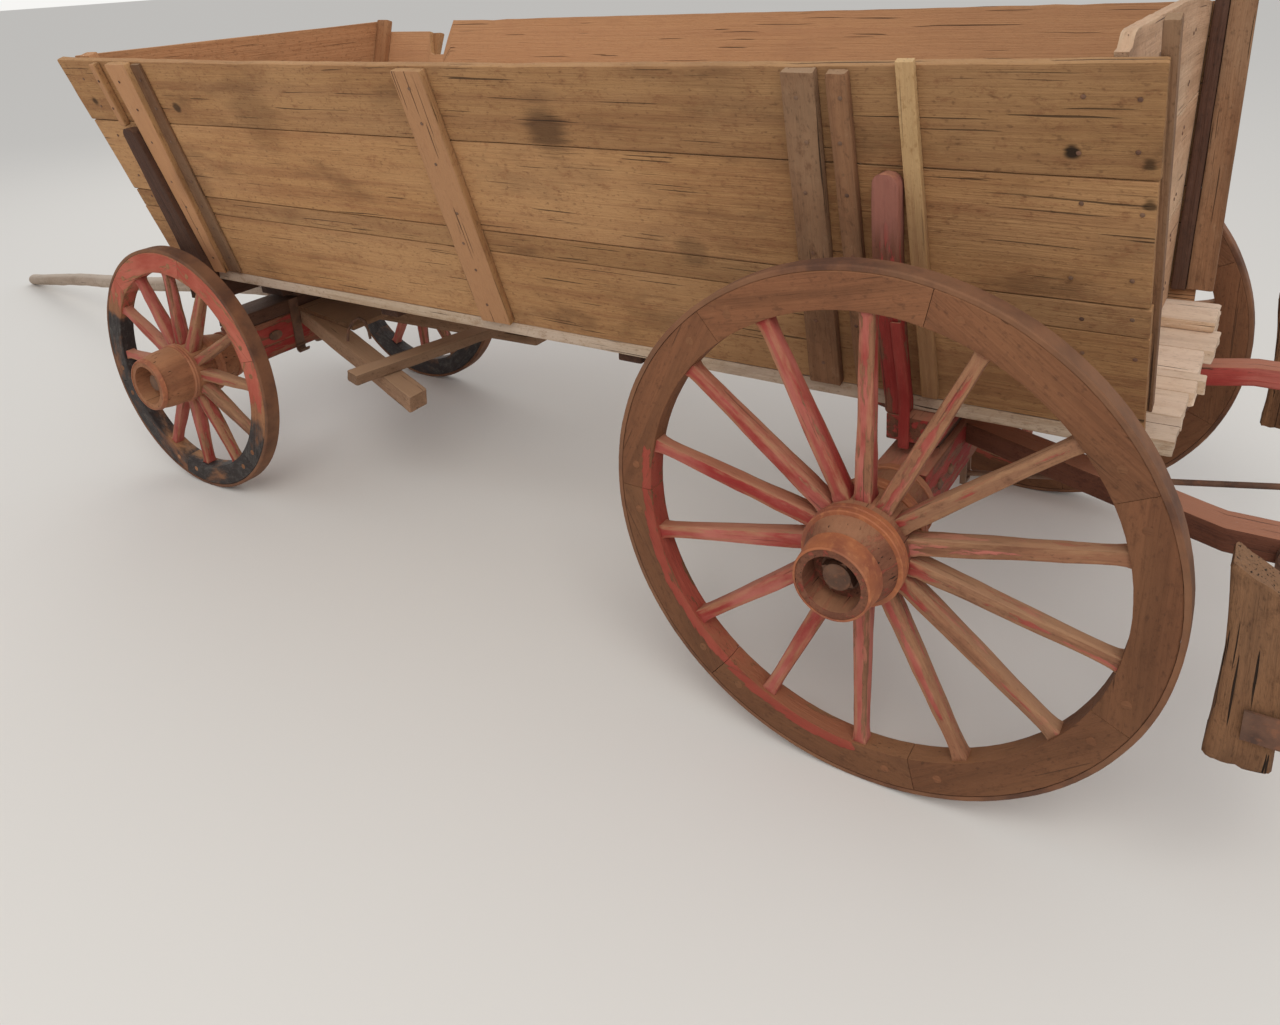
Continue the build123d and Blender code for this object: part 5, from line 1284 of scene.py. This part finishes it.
def rear_rim_paint_and_painted_light(place):
    """Painted light over the rear wheel's top and painted shade below, with red paint left inside the lower front."""
    x, z = place.x - REAR_X, place.z - REAR_KIND.radius
    turn = math.atan2(z, x)
    paint = 0.95 if math.hypot(z, x) < 0.528 and -1.6 < turn < 0.2 else 0.0
    # The third value makes the top lighter and the part below darker: painted light and shade by height on the wheel
    return paint, 0.0, 1.5 * math.sin(turn + 0.2) - 0.8


def spoke_coat(place):
    """Paint kept on the spokes that point forwards and rubbed off those that point back."""
    axle = REAR_X if place.x < (REAR_X + FRONT_X) / 2 else FRONT_X
    return 0.45 * max(-0.45, min(1.0, (place.x - axle + 0.08) * 3)), 0.0, 0.0


def nave_barrel(kind):
    """Profile of a nave's wood from nose to tail as (out, radius)."""
    face, nose_in = kind.nose_out - BAND_EDGE, kind.nose_out - kind.nose_band
    shoulder, waist = kind.hub_r - SHOULDER, kind.hub_r - WAIST
    barrel = [(face, kind.recess_r), (face, kind.nose_r - 0.005), (nose_in, kind.nose_r)]
    for i in range(1, 8):
        t = i / 8
        radius = kind.nose_r + (shoulder - kind.nose_r) * t + kind.belly * math.sin(math.pi * t)
        barrel.append((nose_in + (kind.collar_high - nose_in) * t, radius))
    barrel += [(kind.collar_high, shoulder), (kind.collar_low, kind.hub_r), (-0.025, kind.hub_r)]
    barrel += [(INNER_HIGH, kind.hub_r), (INNER_LOW, waist)]
    for i in range(1, 6):
        t = i / 6
        barrel.append((INNER_LOW + (TAIL_BAND - kind.tail - INNER_LOW) * t, waist + (TAIL_R - waist) * t))
    barrel += [(TAIL_BAND - kind.tail, TAIL_R), (-kind.tail, TAIL_R - WAIST), (-kind.tail, BORE_R)]
    inner = kind.nose_out - RECESS
    return barrel + [(inner, BORE_R), (inner, kind.recess_r), (inner + 0.03, kind.recess_r)]


def collar(kind, high, low, drop_high, drop_low):
    """Profile of a collar with rounded edges and a groove, on a seat that drops to either side."""
    middle, top = (high + low) / 2, COLLAR_R
    return [
        (high, kind.hub_r - drop_high + CLEAR), (high, top - BAND_EDGE), (high - BAND_EDGE, top),
        (middle + 0.003, top), (middle + 0.001, top - BAND_EDGE), (middle - 0.001, top - BAND_EDGE),
        (middle - 0.003, top), (low + BAND_EDGE, top), (low, top - BAND_EDGE),
        (low, kind.hub_r - drop_low + CLEAR),
    ]


def build_wheel(kind, side_name, side, seed):
    """Nave, bands, spokes, felloes and tyre of one wheel."""
    name = f"{kind.name}_{side_name}"
    body = f"{name}_wheel"
    tyre_in, tail = kind.radius - TYRE_T, -kind.tail
    rim_in, felloe_out = tyre_in - kind.depth, tyre_in - CLEAR
    nave, bands, tyre, pegs = [Work() for _ in range(4)]
    spokes = Work(spoke_coat)
    rim = Work(front_rim_paint_tar_and_painted_light if kind is FRONT_KIND else rear_rim_paint_and_painted_light)

    turning(nave, kind, side, nave_barrel(kind), seed, wander=0.0005)
    nave.build(f"{name}_nave_barrel", f"{kind.name}_nave", body, [f"{name}_nave"], "wheel_wood", crease=50)

    # The nose band is cone shaped
    nose, nose_r, nose_in = kind.nose_out, kind.nose_r, kind.nose_out - kind.nose_band
    nose_middle = nose - kind.nose_band / 2
    turning(bands, kind, side, [
        (nose - 0.0005, nose_r - 0.0048), (nose, nose_r - 0.0025), (nose - 0.001, nose_r),
        (nose_middle, nose_r + 0.0023), (nose_in + 0.001, nose_r + 0.0048), (nose_in, nose_r + 0.003),
        (nose_in, nose_r + CLEAR), (nose_middle, nose_r - 0.0023),
    ], seed + 1, wander=0.0009)
    turning(bands, kind, side, collar(kind, kind.collar_high, kind.collar_low, SHOULDER, 0.0), seed + 2, wander=0.0009)
    turning(bands, kind, side, collar(kind, INNER_HIGH, INNER_LOW, 0.0, WAIST), seed + 2, wander=0.0009)
    turning(bands, kind, side, [
        (tail + TAIL_BAND, TAIL_R + CLEAR), (tail + TAIL_BAND, TAIL_R + 0.0035), (tail + 0.024, TAIL_R + 0.005),
        (tail + 0.002, TAIL_R + 0.002), (tail, TAIL_R), (tail, TAIL_R - WAIST + CLEAR),
    ], seed + 3, wander=0.0008)
    bands.build(f"{name}_hub_bands", "hoop", body, [f"{name}_bands"], "rusty_iron", crease=30)

    for number in range(kind.spokes):
        angle = 2 * math.pi * (number + kind.phase) / kind.spokes
        timber(spokes, spoke_section(kind, side, angle), "spoke", seed + number, spacing=0.03, stations=SPOKE_STATIONS)
    spokes.build(f"{name}_spoke_set", "spoke", body, [f"{name}_spokes"], "wheel_wood")

    middle = (rim_in + felloe_out) / 2
    # Corners of a felloe's section with the wear of each
    profile, wears = zip(*[
        ((-0.0015, rim_in + 0.0005), 1), ((0.0, rim_in + 0.004), 0.6), ((0.0, rim_in + 0.02), 0),
        ((0.0, middle), 0), ((0.0, felloe_out - 0.02), 0), ((0.0, felloe_out - 0.003), 0.3),
        ((-0.003, felloe_out), 1), ((-RIM_W / 2, felloe_out), 0), ((-RIM_W + 0.003, felloe_out), 1),
        ((-RIM_W, felloe_out - 0.003), 0.3), ((-RIM_W, middle), 0), ((-RIM_W, rim_in + 0.004), 0.6),
        ((-RIM_W + 0.0015, rim_in + 0.0005), 1), ((-RIM_W + 0.006, rim_in), 0.4), ((-RIM_W / 2, rim_in), 0),
        ((-0.006, rim_in), 0.4),
    ])
    half_gap = JOINT_GAP / 2 / rim_in
    span = 2 * math.pi / kind.felloes
    for number in range(kind.felloes):
        first = number * span - side * kind.joint_turn
        turning(rim, kind, side, profile, seed + 40 + number, steps=14, wander=0.0008,
                span=(first + half_gap, first + span - half_gap), wear=list(wears), tone=0.25 * math.sin(9 * number))
        for share in (PEG_SHARE, -PEG_SHARE):
            head = wheel_point(kind, side, 0.0, middle, first + share * span)
            stud(pegs, head, Vector((0, side, 0)), PEG_R, HEAD_RISE, seed + 70 + number, sides=12)
    rim.build(f"{name}_felloe_ring", f"{kind.name}_felloe", body, [f"{name}_felloes"], "wheel_wood")
    pegs.build(f"{name}_rim_pegs", f"{kind.name}_felloe", body, slot="wheel_wood")

    turning(tyre, kind, side, [
        (-0.0008, tyre_in), (-0.0004, kind.radius - 0.004), (-0.003, kind.radius - 0.0006),
        (-RIM_W / 2, kind.radius - CLEAR), (-RIM_W + 0.003, kind.radius - 0.0006),
        (-RIM_W + 0.0004, kind.radius - 0.004), (-RIM_W + 0.0008, tyre_in),
    ], seed + 60, steps=120, wander=0.0007)
    tyre.build(f"{name}_iron_tyre", "tyre", body, [f"{name}_tyre"], "rusty_iron", crease=35)


def build_wheels():
    """All four wheels."""
    for number, kind in enumerate(WHEEL_KINDS):
        for side_name, side in SIDES:
            build_wheel(kind, side_name, side, 200 + 200 * number + (100 if side < 0 else 0))


# Ironwork


IRON_NODES = (
    "front_axle_arms", "front_gear_irons", "king_bolt", "lower_plate", "pole_jaw", "pole_pin", "rear_axle_arms",
    "rear_gear_irons", "upper_plate", "brake_irons", "brake_rod",
)


def finish_irons():
    """Rusty finish on the forged nodes that keep their shape."""
    if "iron" not in finishes:
        raise RuntimeError("The finishes are made first")
    for node in IRON_NODES:
        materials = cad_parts[node].data.materials
        materials.clear()
        materials.append(finishes["iron"])


NAIL_HEIGHTS = (0.87, 0.985, 1.068, 1.16, 1.30, 1.41, 1.50)
GATE_NAIL_HEIGHTS = (0.89, 1.02, 1.12, 1.29, 1.40, 1.52)
GATE_NAIL_Y = (-0.30, -0.275, 0.28, 0.305)
# Millimetres forward of the nails at the walls' ends
END_NAILS = (-425, -330, 2700)
HEAD_RISE = 0.0012


def build_nails():
    """Nail heads at the battens, the walls' ends and the tailgate."""
    size = bpy.context.scene.wagon_looks.nail_radius
    work, gate = Work(), Work()
    rng = random.Random(7)
    seed = 900

    def nail(target, place, out):
        nonlocal seed
        stud(target, place, out, size, HEAD_RISE, seed)
        seed += 1

    for side, battens in ((1, LEFT_BATTENS), (-1, RIGHT_BATTENS)):
        out = Vector((0, side * math.cos(LEAN), -math.sin(LEAN)))
        for z in NAIL_HEIGHTS:
            for x in END_NAILS:
                x = fore(x + rng.uniform(-12, 12))
                nail(work, wall_point(side, x, z + rng.uniform(-0.01, 0.01), -CLEAR), out)
        for batten in battens:
            for z in NAIL_HEIGHTS:
                t = (z * 1000 - batten.bottom) / (batten.top - batten.bottom)
                if t < 0:
                    continue
                rear = batten.rear_low + (batten.rear_high - batten.rear_low) * t
                front = batten.front_low + (batten.front_high - batten.front_low) * t
                x = fore(rear + (front - rear) * rng.uniform(0.35, 0.65))
                nail(work, wall_point(side, x, z, -batten.thickness / 1000 - CLEAR), out)
    work.build("wall_nails", "iron", "wagon", slot="rusty_iron")
    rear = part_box("tailgate_boards")[0].x
    for z in GATE_NAIL_HEIGHTS:
        for y in GATE_NAIL_Y:
            place = Vector((rear - CLEAR, y + rng.uniform(-0.008, 0.008), z + rng.uniform(-0.01, 0.01)))
            nail(gate, place, Vector((-1, 0, 0)))
    gate.build("tailgate_nails", "iron", "tailgate", slot="rusty_iron")


# Bent staple on the left front hound: points of its line, then the bar's radius
STAPLE = (
    (2150, 0.232, 0.520), (2146, 0.226, 0.560), (2130, 0.212, 0.592), (2112, 0.198, 0.604), (2098, 0.186, 0.590),
    (2092, 0.180, 0.548), (2092, 0.178, 0.520),
)
STAPLE_R = 0.005
# Bolts of the rear bed: a head's radius and rise, its height and how far out it sits
BOLT_R, BOLT_RISE, BOLT_Z, BOLT_Y = 0.013, 0.008, 0.60, (0.36, 0.44)


def build_fasteners():
    """Bent staple on the left front hound, and the bolts of the rear bed."""
    staple, bolts = Work(), Work()
    rod(staple, [Vector((fore(x), y, z)) for x, y, z in STAPLE], STAPLE_R, 990)
    staple.build("front_hound_staple", "iron", "front_gear", slot="rusty_iron")
    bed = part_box("rear_axle_bed")[0].x
    for number, (_, side) in enumerate(SIDES):
        for y in BOLT_Y:
            head = Vector((bed - CLEAR, side * y, BOLT_Z))
            stud(bolts, head, Vector((-1, 0, 0)), BOLT_R, BOLT_RISE, 995 + number, sides=6)
    bolts.build("rear_bed_bolts", "iron", "wagon", slot="rusty_iron")


# Stage

STAGE_HALF = 150.0
# Lamps: name, place, side and share of the key lamp's power, all turned to the box's middle
LAMPS = (("key_softbox", (-5.0, 5.0, 6.5), 5.0, 1.0), ("rim_softbox", (4.5, -4.5, 6.0), 5.0, 0.35))
LAMP_AIM = Vector((-1.2, 0, 0.7))
LAMP_COLOUR = (1.0, 0.985, 0.96)
# The camera of the photograph, fitted to the wheels and the box
CAMERA_PLACE = (-3.328, 2.475, 1.761)
CAMERA_RIGHT = (-0.8362, -0.5450, -0.0590)
CAMERA_AHEAD = (0.5308, -0.7791, -0.3335)
CAMERA_LENS, CAMERA_SENSOR, CAMERA_SHIFT = 28.46, 36.0, -0.1535


def build_stage():
    """Pale floor, white surroundings, soft lamps and the camera of the photograph."""
    scene = bpy.context.scene
    settings = scene.wagon_stage
    mesh = bpy.data.meshes.new("studio_floor")
    corners = [(STAGE_HALF * x, STAGE_HALF * y, 0) for x, y in ((-1, -1), (1, -1), (1, 1), (-1, 1))]
    mesh.from_pydata(corners, [], [(0, 1, 2, 3)])
    floor = bpy.data.objects.new("studio_floor", mesh)
    scene.collection.objects.link(floor)
    material = bpy.data.materials.new("pale_matt_studio_floor")
    tree = blank_tree(material)
    shader = add(tree, "ShaderNodeBsdfDiffuse", {"Color": [*settings.floor_colour, 1.0], "Roughness": 0.0})
    add(tree, "ShaderNodeOutputMaterial", {"Surface": shader})
    mesh.materials.append(material)

    scene.world = bpy.data.worlds.new("overcast_studio")
    tree = blank_tree(scene.world)
    sky = add(tree, "ShaderNodeBackground", {"Color": linear("#f4f6fa"), "Strength": settings.sky_strength})
    backdrop = add(tree, "ShaderNodeBackground", {"Color": linear("#f7f6f3"), "Strength": 1.0})
    seen = add(tree, "ShaderNodeLightPath", out="Is Camera Ray")
    rays = seen.node.outputs
    for ray in ("Is Glossy Ray", "Is Transmission Ray"):
        seen = add(tree, "ShaderNodeMath", {0: seen, 1: rays[ray]}, operation="MAXIMUM")
    both = add(tree, "ShaderNodeMixShader", {0: seen, 1: sky, 2: backdrop})
    add(tree, "ShaderNodeOutputWorld", {"Surface": both})

    for name, place, size, share in LAMPS:
        lamp = bpy.data.lights.new(name, "AREA")
        lamp.shape = "SQUARE"
        lamp.size = size
        lamp.energy = settings.key_watts * share
        lamp.color = LAMP_COLOUR
        holder = bpy.data.objects.new(name, lamp)
        holder.location = place
        holder.rotation_mode = "QUATERNION"
        holder.rotation_quaternion = (LAMP_AIM - Vector(place)).to_track_quat("-Z", "Y")
        scene.collection.objects.link(holder)

    camera_data = bpy.data.cameras.new("photo_camera")
    camera_data.sensor_width = CAMERA_SENSOR
    camera_data.lens = CAMERA_LENS
    camera_data.shift_y = CAMERA_SHIFT
    camera_data.clip_start = 0.05
    camera_data.clip_end = 400.0
    camera = bpy.data.objects.new("photo_camera", camera_data)
    ahead = Vector(CAMERA_AHEAD).normalized()
    right = Vector(CAMERA_RIGHT)
    right = (right - ahead * right.dot(ahead)).normalized()
    turn = Matrix((right, right.cross(ahead), -ahead)).transposed()
    camera.matrix_world = Matrix.Translation(CAMERA_PLACE) @ turn.to_4x4()
    scene.collection.objects.link(camera)
    scene.camera = camera
    scene.view_settings.view_transform = "Standard"


# Add-on


class WAGON_PG_looks(bpy.types.PropertyGroup):
    """Colours and wear of the wagon."""

    board_colour: bpy.props.FloatVectorProperty(
        name="Board colour", description="Lightest colour of the sawn side boards",
        subtype="COLOR", size=3, min=0.0, max=1.0, default=linear(WOODS["boards"][1].light)[:3],
    )
    paint_colour: bpy.props.FloatVectorProperty(
        name="Paint colour", description="Colour of the old paint on the running gear and spokes",
        subtype="COLOR", size=3, min=0.0, max=1.0, default=linear(WOODS["gear"][1].paint)[:3],
    )
    rust_colour: bpy.props.FloatVectorProperty(
        name="Rust colour", description="Lightest colour of the rust on the forged irons",
        subtype="COLOR", size=3, min=0.0, max=1.0, default=linear(IRONS["iron"][1].light)[:3],
    )
    paint_left: bpy.props.FloatProperty(
        name="Paint left", description="Share of paint more or less than the wagon has now",
        min=-0.5, max=0.5, default=0.0, subtype="FACTOR",
    )
    dust: bpy.props.FloatProperty(
        name="Dust", description="Amount of dust on the wood, 1 as found", min=0.0, max=2.0, default=1.0,
    )
    checks: bpy.props.FloatProperty(
        name="Drying checks", description="Depth of the dark slits in the wood, 1 as found",
        min=0.0, max=1.0, default=1.0,
    )
    nail_radius: bpy.props.FloatProperty(
        name="Nail head radius", description="Radius of the nail heads on the boards",
        min=0.002, max=0.01, default=0.0045, subtype="DISTANCE", unit="LENGTH",
    )


class WAGON_PG_stage(bpy.types.PropertyGroup):
    """Light and floor of the studio."""

    sky_strength: bpy.props.FloatProperty(
        name="Sky strength", description="Strength of the even light from all round", default=0.72, min=0.0,
    )
    key_watts: bpy.props.FloatProperty(
        name="Key lamp", description="Power of the large lamp over the camera", default=260.0, min=0.0, unit="POWER",
    )
    floor_colour: bpy.props.FloatVectorProperty(
        name="Floor colour", description="Colour of the studio floor",
        subtype="COLOR", size=3, min=0.0, max=1.0, default=linear("#e6e2db")[:3],
    )


class WAGON_OT_finishes(bpy.types.Operator):
    """Makes one material for each real finish."""

    bl_idname = "wagon.finishes"
    bl_label = "Finishes"

    def execute(self, context):
        make_finishes(context.scene.wagon_looks)
        return {"FINISHED"}


class WAGON_OT_walls(bpy.types.Operator):
    """Builds the side walls of four boards each."""

    bl_idname = "wagon.walls"
    bl_label = "Side walls"

    def execute(self, context):
        build_walls()
        return {"FINISHED"}


class WAGON_OT_battens(bpy.types.Operator):
    """Builds the battens and the new strip on the walls."""

    bl_idname = "wagon.battens"
    bl_label = "Battens"

    def execute(self, context):
        build_battens()
        return {"FINISHED"}


class WAGON_OT_floor(bpy.types.Operator):
    """Builds the floor planks, cleats and the loose plank."""

    bl_idname = "wagon.floor"
    bl_label = "Floor"

    def execute(self, context):
        build_floor()
        return {"FINISHED"}


class WAGON_OT_ends(bpy.types.Operator):
    """Builds the headboard, tailgate, stops and end plank."""

    bl_idname = "wagon.ends"
    bl_label = "Ends"

    def execute(self, context):
        build_ends()
        return {"FINISHED"}


class WAGON_OT_stakes(bpy.types.Operator):
    """Builds the stakes beside the walls with their strips."""

    bl_idname = "wagon.stakes"
    bl_label = "Stakes"

    def execute(self, context):
        build_stakes()
        return {"FINISHED"}


class WAGON_OT_rear_gear(bpy.types.Operator):
    """Builds the rear running gear."""

    bl_idname = "wagon.rear_gear"
    bl_label = "Rear gear"

    def execute(self, context):
        build_rear_gear()
        return {"FINISHED"}


class WAGON_OT_front_gear(bpy.types.Operator):
    """Builds the front running gear."""

    bl_idname = "wagon.front_gear"
    bl_label = "Front gear"

    def execute(self, context):
        build_front_gear()
        return {"FINISHED"}


class WAGON_OT_pole(bpy.types.Operator):
    """Builds the draught pole."""

    bl_idname = "wagon.pole"
    bl_label = "Draught pole"

    def execute(self, context):
        build_pole()
        return {"FINISHED"}


class WAGON_OT_brake(bpy.types.Operator):
    """Builds the brake beam and blocks."""

    bl_idname = "wagon.brake"
    bl_label = "Brake"

    def execute(self, context):
        build_brake()
        return {"FINISHED"}


class WAGON_OT_wheels(bpy.types.Operator):
    """Builds the four spoked wheels."""

    bl_idname = "wagon.wheels"
    bl_label = "Wheels"

    def execute(self, context):
        build_wheels()
        return {"FINISHED"}


class WAGON_OT_irons(bpy.types.Operator):
    """Puts rust on the forged irons and builds the nails, staple and bolts."""

    bl_idname = "wagon.irons"
    bl_label = "Irons and fasteners"

    def execute(self, context):
        finish_irons()
        build_nails()
        build_fasteners()
        return {"FINISHED"}


class WAGON_OT_stage(bpy.types.Operator):
    """Builds the floor, lights and camera."""

    bl_idname = "wagon.stage"
    bl_label = "Stage"

    def execute(self, context):
        build_stage()
        return {"FINISHED"}


OPERATORS = (
    WAGON_OT_finishes, WAGON_OT_walls, WAGON_OT_battens, WAGON_OT_floor, WAGON_OT_ends, WAGON_OT_stakes,
    WAGON_OT_rear_gear, WAGON_OT_front_gear, WAGON_OT_pole, WAGON_OT_brake, WAGON_OT_wheels, WAGON_OT_irons,
    WAGON_OT_stage,
)


class WAGON_PT_panel(bpy.types.Panel):
    """Settings and buttons that build the wagon's pieces."""

    bl_idname = "WAGON_PT_panel"
    bl_label = "Wagon"
    bl_space_type = "VIEW_3D"
    bl_region_type = "UI"
    bl_category = "Wagon"

    def draw(self, context):
        """Lists the settings and the operators."""
        for group in (context.scene.wagon_looks, context.scene.wagon_stage):
            for name in group.bl_rna.properties.keys():
                if name not in ("rna_type", "name"):
                    self.layout.prop(group, name)
        for made in OPERATORS:
            self.layout.operator(made.bl_idname)


CLASSES = (WAGON_PG_looks, WAGON_PG_stage, *OPERATORS, WAGON_PT_panel)


def register():
    """Registers the classes and the scene's settings."""
    for made in CLASSES:
        bpy.utils.register_class(made)
    bpy.types.Scene.wagon_looks = bpy.props.PointerProperty(type=WAGON_PG_looks)
    bpy.types.Scene.wagon_stage = bpy.props.PointerProperty(type=WAGON_PG_stage)


def unregister():
    """Removes what register added."""
    del bpy.types.Scene.wagon_stage
    del bpy.types.Scene.wagon_looks
    for made in reversed(CLASSES):
        bpy.utils.unregister_class(made)


def main():
    """Builds everything in order."""
    register()
    for made in OPERATORS:
        family, name = made.bl_idname.split(".")
        if getattr(getattr(bpy.ops, family), name)() != {"FINISHED"}:
            raise RuntimeError(f"{made.bl_label} did not finish")


if __name__ == "__main__":
    main()
